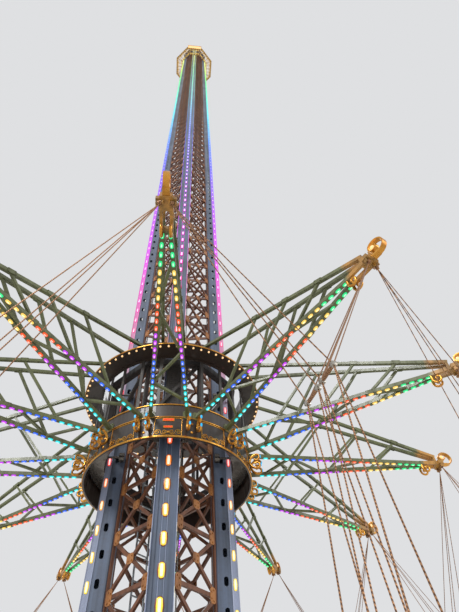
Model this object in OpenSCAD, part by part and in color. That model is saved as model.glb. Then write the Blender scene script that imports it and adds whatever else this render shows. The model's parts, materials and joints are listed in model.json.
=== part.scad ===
// Swing tower ride, scale model 1:2, in millimetres.
// +Z is up, the origin is the centre of the underside of the foundation frame.
// The columns stand on +X, +Y, -X and -Y, and the star of arms is at its loading height.

/* [Foundation] */
// Height of the foundation beams
beam_h = 290; // [200:5:420]
// Width of the foundation beams
beam_w = 340; // [300:10:420]
// Length of a foundation beam from the mast axis
beam_reach = 1300; // [1050:10:1700]
// Thickness of the shoe plates under the columns
shoe_t = 20; // [10:1:40]
// Margin of a shoe plate round its column
shoe_margin = 40; // [20:5:48]

/* [Mast] */
// Number of lattice bays
bay_n = 66; // [40:1:66]
// Height of one lattice bay
bay_h = 585; // [520:5:600]
// Distance from the mast axis to the lamp rails of a column
corner_r = 782; // [720:1:790]
// Width of a column
col_w = 236; // [200:2:250]
// Depth of a column without its lamp rails
col_d = 224; // [190:2:240]
// Wall of a column
col_wall = 8; // [5:1:12]
// Width of each lamp rail
rail_w = 40; // [20:1:60]
// How far the lamp rails stand out of the column
rail_h = 16; // [8:1:24]
// Width of the chamfer that a lattice seats on
seat_c = 40; // [34:1:48]
// Width of an oval hole in a column
hole_w = 48; // [30:1:60]
// Height of an oval hole in a column
hole_h = 98; // [70:1:120]
// Thickness of the lattice
brace_t = 30; // [16:1:40]
// Width of a level lattice bar
strut_w = 40; // [24:1:60]
// Width of a slanted lattice bar
diag_w = 36; // [20:1:50]
// Width of the lattice's edge bars
edge_w = 24; // [12:1:40]
// Fitting gap between plain pieces of one body
fit_gap = 0.05; // [0.02:0.01:0.3]

/* [Ladder and ropes] */
// Width of the ladder
ladder_w = 200; // [160:5:260]
// Width of a ladder rail
ladder_rail = 16; // [10:1:24]
// Height of a ladder rung
rung_h = 12; // [8:1:16]
// Distance between ladder rungs
rung_pitch = 146.25; // [120:0.25:160]
// Distance from the lattice to the ladder
ladder_gap = 60; // [40:1:90]
// Diameter of a hoist rope
hoist_d = 14; // [8:1:20]
// Distance of the hoist ropes from the mast axis
hoist_r = 210; // [150:5:240]

/* [Mast head] */
// Thickness of the head plate
head_t = 30; // [16:1:50]
// Radius of the rope sheaves
sheave_r = 90; // [60:1:110]
// Width of a rope sheave
sheave_w = 40; // [24:1:60]
// Distance of the crown below the top of the columns
crown_drop = 3150; // [2000:10:4000]
// Distance from the mast axis to the crown's outer flats
crown_r = 1210; // [1180:10:1320]
// Width of the crown's outer bars
crown_w = 100; // [80:5:120]
// Height from the crown's canopy to its upper ring
crown_h = 240; // [200:10:320]
// Thickness of the crown's thin bars
crown_bar = 30; // [24:1:36]

/* [Carriage] */
// Height of the carriage's lower frame
lift_z = 4200; // [3600:10:4600]
// Distance from the mast axis to the inner flats of the carriage frame
frame_flat = 815; // [812:1:830]
// Width of the carriage frame's bars
frame_bar = 80; // [50:1:90]
// Height of the carriage frame's ring bars
frame_h = 100; // [60:5:140]
// Height from the lower to the upper carriage frame
frame_rise = 1050; // [900:10:1150]
// Radius of the guide rollers
roller_r = 60; // [40:1:70]
// Length of the guide rollers
roller_l = 60; // [40:1:70]
// Gap between the guide rollers and a column
roller_gap = 0.5; // [0.3:0.1:2]
// Thickness of the slewing ring
slew_t = 40; // [24:1:60]

/* [Star] */
// Outside radius of the hub
hub_r = 1060; // [1056:1:1100]
// Wall of the hub's bands
hub_wall = 20; // [12:1:26]
// Running gap between the hub and the slewing ring
slew_gap = 0.5; // [0.3:0.1:2]
// Number of arms
arm_n = 12; // [12:1:12]
// Turn of the star at rest
star_turn = -1.2; // [-5:0.1:5]
// Distance from the mast axis to the hanger pins
pin_r = 3740; // [3400:10:4000]
// Distance from the mast axis to the end of the lamp chords
chord_end = 3480; // [3200:10:3600]
// Half distance of the lower chords at the hub
chord_in = 217; // [180:1:230]
// Half distance of the lower chords at their ends
chord_out = 32; // [28:1:40]
// Width of a lower chord
chord_w = 44; // [30:1:50]
// Height of a lower chord
chord_h = 46; // [30:1:60]
// Underside of the lower chords above the carriage's lower frame
chord_up = 20; // [10:1:60]
// Rise of the upper chords from the arm's end to the hub
top_rise = 1165; // [1000:5:1250]
// Half distance of the upper chords at the hub
top_in = 150; // [100:1:170]
// Width of an upper chord
top_w = 40; // [24:1:50]
// Width of the arm's struts
web_w = 28; // [16:1:36]
// Radius of the lamp flange on the hub
flange_r = 1285; // [1200:5:1320]
// How far the hub's skirt hangs below the carriage's lower frame
skirt = 280; // [240:5:320]
// Radius of the scrolls under the arm roots
root_r = 96; // [80:1:105]
// Diameter of the scroll bars
scroll_d = 30; // [24:1:34]
// Radius of the crook at an arm's end
cap_r = 88; // [70:1:92]
// Width of the crook's band
cap_w = 56; // [46:2:96]
// Thickness of the crook's band
cap_t = 14; // [10:1:18]
// Radius of the hooks under the chord ends
hook_r = 46; // [36:1:54]

/* [Swings] */
// Half distance of the two hanger pins on an arm
pin_side = 50; // [44:1:80]
// Diameter of a hanger pin
pin_d = 24; // [16:1:30]
// Clearance of a rope eye round its pin
eye_gap = 0.9; // [0.5:0.1:3]
// Diameter of a rope
rope_d = 8; // [6:1:12]
// Height of the hanger pins above the spreaders
spreader_drop = 1750; // [1500:10:1900]
// Distance of the inner spreader ends from the swing's middle
spreader_in = 26; // [20:1:34]
// Distance of the outer spreader ends from the swing's middle
spreader_out = 160; // [140:1:190]
// Height of the spreaders above the seat's rail
seat_drop = 1750; // [1600:10:1850]
// Width of the double seat
seat_w = 460; // [440:5:500]
// Width of an outer armrest
arm_rest_w = 40; // [30:1:44]
// Width of the middle armrest
mid_rest_w = 80; // [70:1:90]
// Depth of the seat shell
seat_depth = 240; // [200:5:260]
// Height of the seat's back
seat_back = 320; // [260:5:360]
// Wall of the seat shell
seat_wall = 16; // [10:1:20]
// Height of the seat's armrests above its pan
rest_h = 180; // [160:5:200]
// Height of the footrest below the seat's pan
foot_drop = 210; // [160:5:230]

/* [Hidden] */

steel_blue = "#5d6b78";
brace_gold = "#9a5b2c";
arm_green = "#2f4a35";
scroll_gold = "#c8963c";
shell_red = "#8c2b26";

// Mast, worked out
base_h = beam_h + shoe_t;
mast_h = bay_n * bay_h;
mast_top = base_h + mast_h;
box_r = corner_r - rail_h;
inner_r = box_r - col_d;
lamp_pitch = bay_h / 2;
seat_t = col_w / 2 - seat_c / 2;
seat_r = inner_r + seat_c / 2;
face_r = (seat_r + seat_t) / sqrt(2);
face_half = (seat_r - seat_t) / sqrt(2) - fit_gap;
wall_cut = col_wall * (sqrt(2) - 1);

// Carriage and star, worked out
frame_out = frame_flat + frame_bar;
frame_corner = frame_out / cos(22.5);
arm_step = 360 / arm_n;
flange_in = frame_corner + 14;
slew_r = flange_in + 30;
band_top = lift_z + frame_rise + 2.6 * frame_h;
eye_r = pin_d / 2 + eye_gap + 8.6;
arm_z = lift_z + chord_up;
beam_in = 2;
tip_z = arm_z + beam_in + chord_h + top_w;
pin_z = arm_z - eye_r - 6;
tip_h = chord_h + 2 * beam_in;
tip_half = chord_out + chord_w / 2 + 4;
end_r = pin_r + 40;
top_end = pin_r - 40;
swing_r = pin_r * cos(arm_step / 2) + pin_side * sin(arm_step / 2);
swing_half = pin_r * sin(arm_step / 2) - pin_side * cos(arm_step / 2);
spreader_z = pin_z - spreader_drop;
seat_z = spreader_z - seat_drop;

// A bar of square section from point a to point b, turned so that one side stays level
module bar(a, b, w, h) {
    d = b - a;
    run = norm([d[0], d[1]]);
    translate(a) rotate([0, -atan2(d[2], run), atan2(d[1], d[0])])
        translate([0, -w / 2, -h / 2]) cube([norm(d), w, h]);
}

// A round bar from point a to point b
module rod(a, b, d, sides = 24) {
    v = b - a;
    run = norm([v[0], v[1]]);
    translate(a) rotate([0, 90 - atan2(v[2], run), atan2(v[1], v[0])])
        cylinder(d = d, h = norm(v), $fn = sides);
}

// Foundation and columns

module foundation() color(steel_blue) {
    translate([-beam_reach, -beam_w / 2, 0]) cube([2 * beam_reach, beam_w, beam_h]);
    translate([-beam_w / 2, -beam_reach, 0]) cube([beam_w, 2 * beam_reach, beam_h]);
    for (q = [0:3]) rotate(45 + 90 * q)
        translate([0.62 * beam_reach, 0, beam_h / 2])
            cube([beam_w / 2, 0.94 * beam_reach, beam_h], center = true);
}

module column_shoes() color(steel_blue)
    for (q = [0:3]) rotate(90 * q)
        translate([inner_r - shoe_margin, -col_w / 2 - shoe_margin, beam_h])
            cube([corner_r - inner_r + 2 * shoe_margin, col_w + 2 * shoe_margin, shoe_t]);

// Section of the column on +X: rails outwards, two chamfers towards the lattice seats
module column_section() {
    h = col_w / 2;
    difference() {
        polygon([
            [corner_r, -h], [corner_r, rail_w - h], [box_r, rail_w - h], [box_r, h - rail_w],
            [corner_r, h - rail_w], [corner_r, h], [inner_r + seat_c, h],
            [inner_r, h - seat_c], [inner_r, seat_c - h], [inner_r + seat_c, -h]]);
        polygon([
            [box_r - col_wall, col_wall - h], [box_r - col_wall, h - col_wall],
            [inner_r + seat_c + wall_cut, h - col_wall],
            [inner_r + col_wall, h - seat_c - wall_cut],
            [inner_r + col_wall, seat_c + wall_cut - h],
            [inner_r + seat_c + wall_cut, col_wall - h]]);
    }
}

module oval_hole() {
    straight = hole_h - hole_w;
    square([hole_w, straight], center = true);
    for (s = [-1, 1]) translate([0, s * straight / 2]) circle(d = hole_w, $fn = 32);
}

module column(turn) color(steel_blue) rotate(turn) difference() {
    translate([0, 0, base_h]) linear_extrude(mast_h) column_section();
    translate([0, col_w, 0]) rotate([90, 0, 0]) linear_extrude(2 * col_w)
        for (i = [0:2 * bay_n - 1])
            translate([(box_r + inner_r + seat_c) / 2, base_h + (i + 0.5) * lamp_pitch]) oval_hole();
}

// Lattice side: edge bars, level bars and crossed bars in one flat frame
module lattice_outline() {
    a = face_half - edge_w;
    b = (bay_h - strut_w) / 2;
    len = norm([a, b]);
    dx = diag_w / 2 * len / b;
    dz = diag_w / 2 * len / a;
    difference() {
        translate([-face_half, 0]) square([2 * face_half, mast_h - fit_gap]);
        for (i = [0:bay_n - 1]) translate([0, (i + 0.5) * bay_h]) {
            polygon([[dx - a, -b], [a - dx, -b], [0, -dz]]);
            polygon([[a - dx, b], [dx - a, b], [0, dz]]);
            polygon([[-a, dz - b], [-dx, 0], [-a, b - dz]]);
            polygon([[a, dz - b], [a, b - dz], [dx, 0]]);
        }
    }
}

module lattice(turn) color(brace_gold)
    rotate(turn) translate([face_r + brace_t / 2, 0, base_h])
        rotate([90, 0, -90]) mirror([1, 0, 0]) linear_extrude(brace_t) lattice_outline();

// Ladder against the inside of the lattice on the far left
module ladder() color(steel_blue) {
    x = face_r - brace_t / 2;
    inner_w = ladder_w - 2 * ladder_rail;
    rungs = floor(mast_h / rung_pitch) - 1;
    rotate(135) {
        translate([x - ladder_gap, 0, base_h])
            rotate([90, 0, -90]) mirror([1, 0, 0]) linear_extrude(ladder_rail) difference() {
                translate([-ladder_w / 2, 0]) square([ladder_w, mast_h - fit_gap]);
                for (i = [0:rungs]) translate([-inner_w / 2, i * rung_pitch + rung_h])
                    square([inner_w, rung_pitch - rung_h]);
            }
        for (i = [1:4:bay_n - 1], s = [-1, 1])
            translate([x - ladder_gap, s * (ladder_w - ladder_rail) / 2 - ladder_rail / 2,
                    base_h + i * bay_h - rung_h / 2])
                cube([ladder_gap, ladder_rail, rung_h]);
    }
}

module hoist_ropes() color("dimgray")
    for (q = [0:3]) rotate(90 * q + 45) translate([hoist_r, 0, beam_h])
        cylinder(d = hoist_d, h = mast_top - beam_h, $fn = 8);

// Mast head and crown

module mast_head() color(steel_blue) {
    translate([0, 0, mast_top]) linear_extrude(head_t) difference() {
        rotate(22.5) circle(r = corner_r / cos(22.5), $fn = 8);
        for (q = [0:3]) rotate(45 + 90 * q) translate([hoist_r + 130, 0]) circle(r = 70, $fn = 32);
    }
    for (q = [0:3], s = [-1, 1]) rotate(45 + 90 * q)
        translate([hoist_r - sheave_r, s * (sheave_w / 2 + 8) - 6, mast_top + head_t])
            cube([2 * sheave_r, 12, sheave_r + 40]);
}

module head_sheaves() color("gray")
    for (q = [0:3]) rotate(45 + 90 * q)
        translate([hoist_r, 0, mast_top + head_t + sheave_r + 5]) rotate([90, 0, 0]) {
            cylinder(r = sheave_r, h = sheave_w, center = true, $fn = 48);
            cylinder(r = 16, h = sheave_w + 4, center = true, $fn = 32);
        }

// A round bar bent to part of a circle in the plane y = 0, from angle start over the sweep
module arc_rod(r, d, start, sweep)
    rotate([90, 0, 0]) rotate(start) rotate_extrude(angle = sweep, $fn = 48)
        translate([r, 0]) circle(d = d, $fn = 16);

// A flat band bent to part of a circle in the plane y = 0
module arc_band(r, t, w, start, sweep)
    rotate([90, 0, 0]) rotate(start) rotate_extrude(angle = sweep, $fn = 48)
        translate([r - t / 2, -w / 2]) square([t, w]);

// A C scroll of round bar that opens towards +X, with a curl at both ends
module c_scroll(r, d) {
    arc_rod(r, d, 96, 168);
    for (m = [0, 1]) mirror([0, 0, m]) translate(0.6 * r * [cos(97), 0, sin(97)])
        arc_rod(0.4 * r, d - 4, 98, -235);
}

module crown_ring(flat, w, z, h)
    difference() {
        eight_side(flat, z, h);
        eight_side(flat - w, z - 1, h + 2);
    }

// Canopy of scrolls round the mast, an upper ring on posts, and a finial on each column
module crown() color(scroll_gold) {
    z0 = mast_top - crown_drop;
    inner = corner_r + 14;
    curl_r = (crown_r - crown_w - inner - crown_bar + 2) / 2;
    mid = crown_r - crown_w + 1 - curl_r;
    crown_ring(crown_r, crown_w, z0, 2 * crown_bar);
    crown_ring(inner + crown_bar, crown_bar, z0, crown_bar);
    crown_ring(crown_r - crown_w / 3, crown_bar, z0 + crown_h, crown_bar);
    for (q = [0:3]) rotate(90 * q) translate([box_r, -crown_bar / 2, z0])
        cube([crown_r - crown_w / 2 - box_r, crown_bar, crown_bar]);
    for (q = [0:7]) rotate(22.5 + 45 * q) {
        translate([inner / cos(22.5) + 4, -crown_bar / 2, z0])
            cube([(crown_r - crown_w / 2 - inner) / cos(22.5) - 4, crown_bar, crown_bar]);
        translate([(crown_r - crown_w / 3 - crown_bar / 2) / cos(22.5), 0, z0 + crown_bar])
            cylinder(d = 0.7 * crown_bar, h = crown_h - crown_bar / 2, $fn = 16);
    }
    for (q = [0:7], s = [-1, 1]) rotate(45 * q) translate([mid, s * mid * tan(22.5) / 2, z0 + crown_bar / 2])
        rotate([0, 0, -90 * s]) rotate([90, 0, 0]) c_scroll(curl_r - 0.4 * crown_bar, 0.8 * crown_bar);
    for (q = [0:3]) rotate(90 * q) translate([box_r - 130, 0, mast_top + head_t + 0.3]) {
        arc_rod(110, crown_bar, 0, 150);
        translate([84 * cos(149), 0, 84 * sin(149)]) arc_rod(26, crown_bar - 4, 148, 200);
    }
}

// Carriage

module eight_side(flat, z, h)
    translate([0, 0, z]) linear_extrude(h) rotate(22.5) circle(r = flat / cos(22.5), $fn = 8);

module carriage_frame() color(steel_blue) {
    for (z = [lift_z, lift_z + frame_rise]) difference() {
        eight_side(frame_out, z, frame_h);
        eight_side(frame_flat, z - 1, frame_h + 2);
    }
    for (q = [0:7]) rotate(22.5 + 45 * q)
        translate([frame_flat / cos(22.5) - 4, -frame_bar / 4, lift_z + frame_h])
            cube([frame_bar - 20, frame_bar / 2, frame_rise - frame_h]);
    mid = (frame_flat + frame_bar / 2) / cos(22.5);
    for (q = [0:7]) rotate(45 * q) bar(
        [mid * cos(22.5), -mid * sin(22.5), lift_z + frame_h / 2],
        [mid * cos(22.5), mid * sin(22.5), lift_z + frame_rise + frame_h / 2], frame_bar / 2, frame_bar / 2);
}

module guide_rollers() color("gray") {
    side = col_w / 2 + roller_gap + roller_r;
    start = inner_r + seat_c + 4;
    for (q = [0:3], s = [-1, 1], z = [lift_z, lift_z + frame_rise])
        rotate(90 * q) translate([start, s * side, z + frame_h / 2]) rotate([0, 90, 0]) {
            cylinder(r = roller_r, h = roller_l, $fn = 40);
            cylinder(r = 14, h = frame_flat - start, $fn = 24);
        }
}

module slewing_ring() color("gray")
    translate([0, 0, lift_z - slew_t]) rotate_extrude($fn = 120)
        translate([frame_flat + 20, 0]) square([slew_r - frame_flat - 20, slew_t]);

// Star: hub, arms and scrolls

module hub_lower_ring() color(scroll_gold) rotate_extrude($fn = 120) polygon([
    [flange_in, lift_z + slew_gap], [slew_r, lift_z + slew_gap],
    [hub_r - hub_wall, lift_z + slew_gap], [hub_r - hub_wall, lift_z - skirt],
    [hub_r, lift_z - skirt], [hub_r, lift_z + 200],
    [hub_r - hub_wall, lift_z + 200], [hub_r - hub_wall, lift_z + 30], [flange_in, lift_z + 30]]);

module hub_upper_ring() color(scroll_gold) rotate_extrude($fn = 120) polygon([
    [hub_r - hub_wall, frame_rise + lift_z - 40], [hub_r, frame_rise + lift_z - 40],
    [hub_r, frame_rise + lift_z - 10], [flange_r, frame_rise + lift_z - 10],
    [flange_r, frame_rise + lift_z + 4], [hub_r, frame_rise + lift_z + 4],
    [hub_r, band_top], [hub_r - hub_wall, band_top]]);

module hub_posts() color(steel_blue) rotate(star_turn)
    for (i = [0:arm_n - 1], s = [-1, 1]) rotate(arm_step * i + s * 8)
        translate([hub_r - hub_wall, -20, lift_z + 200])
            cube([hub_wall - 2, 40, frame_rise - 240 - fit_gap]);

// Places along an arm that points to +X
function chord_side(r) = chord_in + (chord_out - chord_in) * (r - hub_r) / (chord_end - hub_r);
function top_side(r) = top_in + (chord_out - top_in) * (r - hub_r) / (top_end - hub_r);
function top_z(r) = tip_z + top_rise * (end_r - r) / (end_r - hub_r);
function low_node(r, s) = [r, s * chord_side(r), arm_z + beam_in + chord_h / 2];
function top_node(r, s) = [r, s * top_side(r), top_z(r)];

web_low = [1600, 2180, 2760];
web_top = [2200, 2710, 3180];
plan_nodes = [1290, 1600, 2050, 2620, 3200];

module arm_shape() {
    start = hub_r - 70;
    for (s = [-1, 1]) {
        bar(low_node(start, s), low_node(chord_end, s), chord_w, chord_h);
        bar(top_node(start, s), top_node(top_end, s), top_w, top_w);
        for (i = [0:2]) bar(low_node(web_low[i], s), top_node(web_top[i], s), web_w, web_w);
    }
    for (i = [0:3]) {
        s = i % 2 == 0 ? 1 : -1;
        bar(low_node(plan_nodes[i], s), low_node(plan_nodes[i + 1], -s), web_w, web_w);
    }
    translate([chord_end - 40, -tip_half, arm_z]) cube([end_r - chord_end + 40, 2 * tip_half, tip_h]);
    translate([pin_r - 40, -pin_side - 36, arm_z]) cube([70, 2 * pin_side + 72, tip_h]);
    translate([top_end - 34, 6 - tip_half, arm_z + 10])
        cube([30, 2 * tip_half - 12, top_z(top_end) - arm_z - 10]);
    translate([end_r - 4, -tip_half + 6, arm_z + 4]) cube([14, 2 * tip_half - 12, 80]);
}

module arm(i) color(arm_green) rotate(star_turn - 90 + arm_step * (i - 1)) {
    difference() {
        arm_shape();
        translate([0, 0, arm_z - chord_h]) cylinder(r = hub_r + fit_gap, h = 2 * top_rise, $fn = 120);
        translate([chord_end + 20, web_w - tip_half, arm_z - 1])
            cube([pin_r - chord_end - 104, 2 * (tip_half - web_w), tip_h + 2]);
    }
    for (s = [-1, 1]) hanger(s);
}

// Hanger pin of one side: its axis is square to the middle of the bay on that side
module hanger(s) translate([pin_r, s * pin_side, pin_z]) rotate(s * arm_step / 2) {
    rotate([90, 0, 0]) cylinder(d = pin_d, h = 60, center = true, $fn = 32);
    for (e = [-1, 1]) translate([-pin_d / 2 - 4, e * 26 - 6, -pin_d / 2 - 4])
        cube([pin_d + 8, 12, arm_z - pin_z + pin_d / 2 + 4 + chord_h / 2]);
}

// Scrolls on the hub's skirt, one under the root of each lower chord
module root_scrolls() color(scroll_gold) rotate(star_turn - 90)
    for (i = [0:arm_n - 1], s = [-1, 1]) rotate(arm_step * i + s * asin(chord_in / hub_r))
        translate([hub_r + root_r + scroll_d / 2 + 0.3, 0, arm_z - root_r - scroll_d - 20])
            c_scroll(root_r, scroll_d);

// A crook on each arm's end plate, and a hook under the end of each chord
module end_scrolls() color(scroll_gold) rotate(star_turn - 90)
    for (i = [0:arm_n - 1]) rotate(arm_step * i) {
        translate([end_r + cap_r - 10, 0, arm_z + cap_r + 24]) {
            translate([20.3 - cap_r, -cap_w / 2 - 3, -cap_r - cap_t / 2 - 3])
                cube([cap_r - 20.3, cap_w + 6, cap_t + 6]);
            arc_band(cap_r, cap_t, cap_w, -94, 234);
            translate(0.5 * cap_r * [cos(139), 0, sin(139)])
                arc_band(0.5 * cap_r, cap_t - 3, cap_w - 6, 138, 220);
        }
        for (s = [-1, 1]) translate([chord_end - 20 + hook_r, s * 40, arm_z - 54]) {
            translate([-hook_r, 0, -1]) cylinder(d = 32, h = 54.7, $fn = 24);
            arc_rod(hook_r, 26, 180, 215);
            translate(0.5 * hook_r * [cos(34), 0, sin(34)]) arc_rod(0.5 * hook_r, 22, 33, 200);
        }
    }

// Place of a rope's lower end on the armrests, for its end x on the spreaders
function seat_side(x) = abs(x) > spreader_in ? sign(x) * (seat_w - arm_rest_w) / 2 : x;
rope_y = seat_depth / 2 - seat_wall - rope_d / 2 - 1;

// Swings: each hangs from the pins of two neighbouring arms and is drawn with its middle on +X

module rope_eye(s) translate([swing_r, s * swing_half, pin_z]) rotate([90, 0, 0])
    difference() {
        cylinder(r = eye_r, h = 30, center = true, $fn = 32);
        cylinder(d = pin_d + 2 * eye_gap, h = 40, center = true, $fn = 32);
    }

module swing_ropes(i) color("silver") rotate(star_turn - 90 + arm_step * (i - 0.5)) {
    ends = [spreader_out, spreader_in, -spreader_in, -spreader_out];
    drop = pin_d / 2 + eye_gap + 6;
    for (s = [-1, 1]) rope_eye(s);
    for (x = ends, s = [-1, 1]) {
        rod([swing_r, s * swing_half, pin_z - drop], [swing_r + x, 0, spreader_z], rope_d, 6);
        rod([swing_r + x, 0, spreader_z], [swing_r + seat_side(x), s * rope_y, seat_z + 0.6], rope_d, 6);
    }
    for (s = [-1, 1]) translate([swing_r + s * (spreader_out + spreader_in) / 2, 0, spreader_z])
        cube([spreader_out - spreader_in + 24, 16, 16], center = true);
}

// Side view of the shell: the pan with its rolled front lip, and the back that leans outwards
shell_line = concat(
    [for (a = [90:-30:0]) [seat_depth / 2 - 34 + 34 * cos(a), -34 + 34 * sin(a)]],
    [for (a = [0:30:90]) [seat_depth / 2 - 34 + (34 - seat_wall) * cos(a), -34 + (34 - seat_wall) * sin(a)]],
    [[30 + seat_wall - seat_depth / 2, -seat_wall]],
    [for (a = [270:-30:180]) [30 - seat_depth / 2 + 30 * cos(a), 30 - seat_wall + 30 * sin(a)]],
    [[-seat_depth / 2, seat_back], [seat_wall - seat_depth / 2, seat_back]],
    [for (a = [180:30:270]) [30 - seat_depth / 2 + (30 - seat_wall) * cos(a), 30 + (30 - seat_wall) * sin(a) - seat_wall]]);

// Side view of an armrest panel, open under the hand rest
module side_panel() difference() {
    h = rest_h + seat_wall;
    translate([-seat_depth / 2, -seat_wall]) square([seat_depth, h]);
    translate([10, h / 2 - seat_wall]) circle(r = h / 4, $fn = 48);
    translate([seat_depth / 2, -seat_wall]) rotate(35) square([seat_depth, h / 3]);
}

module seat(i) color(shell_red) rotate(star_turn - 90 + arm_step * (i - 0.5)) {
    low = seat_z - rest_h;
    foot = low - foot_drop;
    half = (seat_w - seat_wall) / 2;
    translate([swing_r, 0, low]) {
        for (s = [-1, 0, 1]) translate([s * half - seat_wall / 2, 0, 0])
            rotate([90, 0, 90]) linear_extrude(seat_wall) side_panel();
        translate([1 - seat_w / 2, 0, 0]) rotate([90, 0, 90]) linear_extrude(seat_w - 2) polygon(shell_line);
    }
    for (s = [-1, 0, 1]) {
        w = s == 0 ? mid_rest_w : arm_rest_w;
        translate([swing_r + s * (seat_w - w) / 2 - w / 2, -seat_depth / 2, seat_z - seat_wall])
            cube([w, seat_depth, seat_wall]);
    }
    for (s = [-1, 1]) translate([swing_r + s * half, seat_depth / 2 - 40, foot])
        rod([0, 0, 0], [0, 0, foot_drop - 10], 16);
    translate([swing_r - half - 12, seat_depth / 2 - 50, foot - 12]) cube([2 * half + 24, 60, 14]);
    rod([swing_r - half, seat_depth / 2 - 24, seat_z - 50], [swing_r + half, seat_depth / 2 - 24, seat_z - 50], 22);
}

foundation();
column_shoes();
column(-90);  // column_near
column(0);  // column_right
column(90);  // column_far
column(180);  // column_left
lattice(-45);  // lattice_1
lattice(45);  // lattice_2
lattice(135);  // lattice_3
lattice(225);  // lattice_4
ladder();
hoist_ropes();
mast_head();
head_sheaves();
crown();
carriage_frame();
guide_rollers();
slewing_ring();
hub_lower_ring();
hub_upper_ring();
hub_posts();
root_scrolls();
end_scrolls();
for (i = [1:12]) arm(i);
for (i = [1:12]) swing_ropes(i);
for (i = [1:12]) seat(i);
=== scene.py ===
"""Looks of the swing tower ride: finishes, lamps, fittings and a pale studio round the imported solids."""

from __future__ import annotations

import json
import logging
import math
import sys
from dataclasses import dataclass
from enum import Enum
from typing import Callable, Sequence

import bmesh
import bpy
from mathutils import Matrix, Vector

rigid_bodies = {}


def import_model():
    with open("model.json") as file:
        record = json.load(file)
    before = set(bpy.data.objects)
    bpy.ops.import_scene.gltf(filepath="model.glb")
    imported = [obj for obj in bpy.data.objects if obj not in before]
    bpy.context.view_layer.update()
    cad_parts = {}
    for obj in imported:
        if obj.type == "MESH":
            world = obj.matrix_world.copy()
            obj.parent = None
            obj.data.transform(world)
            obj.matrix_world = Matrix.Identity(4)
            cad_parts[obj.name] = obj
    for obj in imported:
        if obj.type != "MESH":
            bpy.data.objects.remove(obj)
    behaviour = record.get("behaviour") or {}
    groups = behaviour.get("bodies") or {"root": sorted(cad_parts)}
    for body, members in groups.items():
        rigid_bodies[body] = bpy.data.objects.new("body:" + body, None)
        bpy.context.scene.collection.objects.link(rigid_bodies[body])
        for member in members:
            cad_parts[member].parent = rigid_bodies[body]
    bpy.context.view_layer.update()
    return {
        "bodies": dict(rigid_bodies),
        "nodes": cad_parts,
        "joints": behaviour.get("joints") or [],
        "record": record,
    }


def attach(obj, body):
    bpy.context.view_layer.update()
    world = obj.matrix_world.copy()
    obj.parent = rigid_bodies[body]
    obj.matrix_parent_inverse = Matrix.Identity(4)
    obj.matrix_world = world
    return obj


LOG = logging.getLogger("swing_tower")

Colour = tuple[float, float, float]
Test = Callable[[Vector, Vector], bool]


def linear(code: str) -> Colour:
    """Turn a written colour into the linear numbers that shaders use.

    Args:
        code: Six hexadecimal digits after a hash.

    Returns:
        Red, green and blue from 0 to 1.
    """
    parts = [int(code[i : i + 2], 16) / 255 for i in (1, 3, 5)]
    return tuple(c / 12.92 if c <= 0.04045 else ((c + 0.055) / 1.055) ** 2.4 for c in parts)


@dataclass(frozen=True)
class Sizes:
    """Sizes of the ride in metres, as the solids have them."""

    base_h: float = 0.310
    bay_h: float = 0.585
    bays: int = 66
    mast_top: float = 38.920
    corner_r: float = 0.782
    box_r: float = 0.766
    col_w: float = 0.236
    rail_w: float = 0.040
    inner_r: float = 0.542
    face_r: float = 0.4667
    face_half: float = 0.3281
    brace_t: float = 0.030
    lift_z: float = 4.200
    frame_rise: float = 1.050
    hub_r: float = 1.060
    skirt: float = 0.280
    flange_r: float = 1.285
    arm_z: float = 4.220
    beam_in: float = 0.002
    star_turn: float = -1.2
    chord_in: float = 0.217
    chord_out: float = 0.032
    chord_end: float = 3.480
    chord_w: float = 0.044
    chord_h: float = 0.046
    top_rise: float = 1.165
    top_in: float = 0.150
    top_end: float = 3.700
    top_w: float = 0.040
    pin_r: float = 3.740
    end_r: float = 3.780
    root_r: float = 0.096
    cap_r: float = 0.088
    crown_r: float = 1.210
    crown_w: float = 0.100
    crown_z: float = 35.770
    swing_r: float = 3.62550
    spreader_z: float = 2.4425
    seat_z: float = 0.6925
    seat_w: float = 0.460
    seat_depth: float = 0.240
    rest_h: float = 0.180

    def arm(self, index: float) -> Matrix:
        """Turn of arm number index, counted from 0 at the front."""
        return Matrix.Rotation(math.radians(self.star_turn - 90 + 30 * index), 4, "Z")

    def chord_side(self, reach: float) -> float:
        """Half distance of the two lower chords at a reach from the axis."""
        share = (reach - self.hub_r) / (self.chord_end - self.hub_r)
        return self.chord_in + (self.chord_out - self.chord_in) * share

    def top_side(self, reach: float) -> float:
        """Half distance of the two upper chords at a reach from the axis."""
        share = (reach - self.hub_r) / (self.top_end - self.hub_r)
        return self.top_in + (self.chord_out - self.top_in) * share

    def top_z(self, reach: float) -> float:
        """Height of the upper chords at a reach from the axis."""
        foot = self.arm_z + self.beam_in + self.chord_h + self.top_w
        return foot + self.top_rise * (self.end_r - reach) / (self.end_r - self.hub_r)


RIDE = Sizes()


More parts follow.
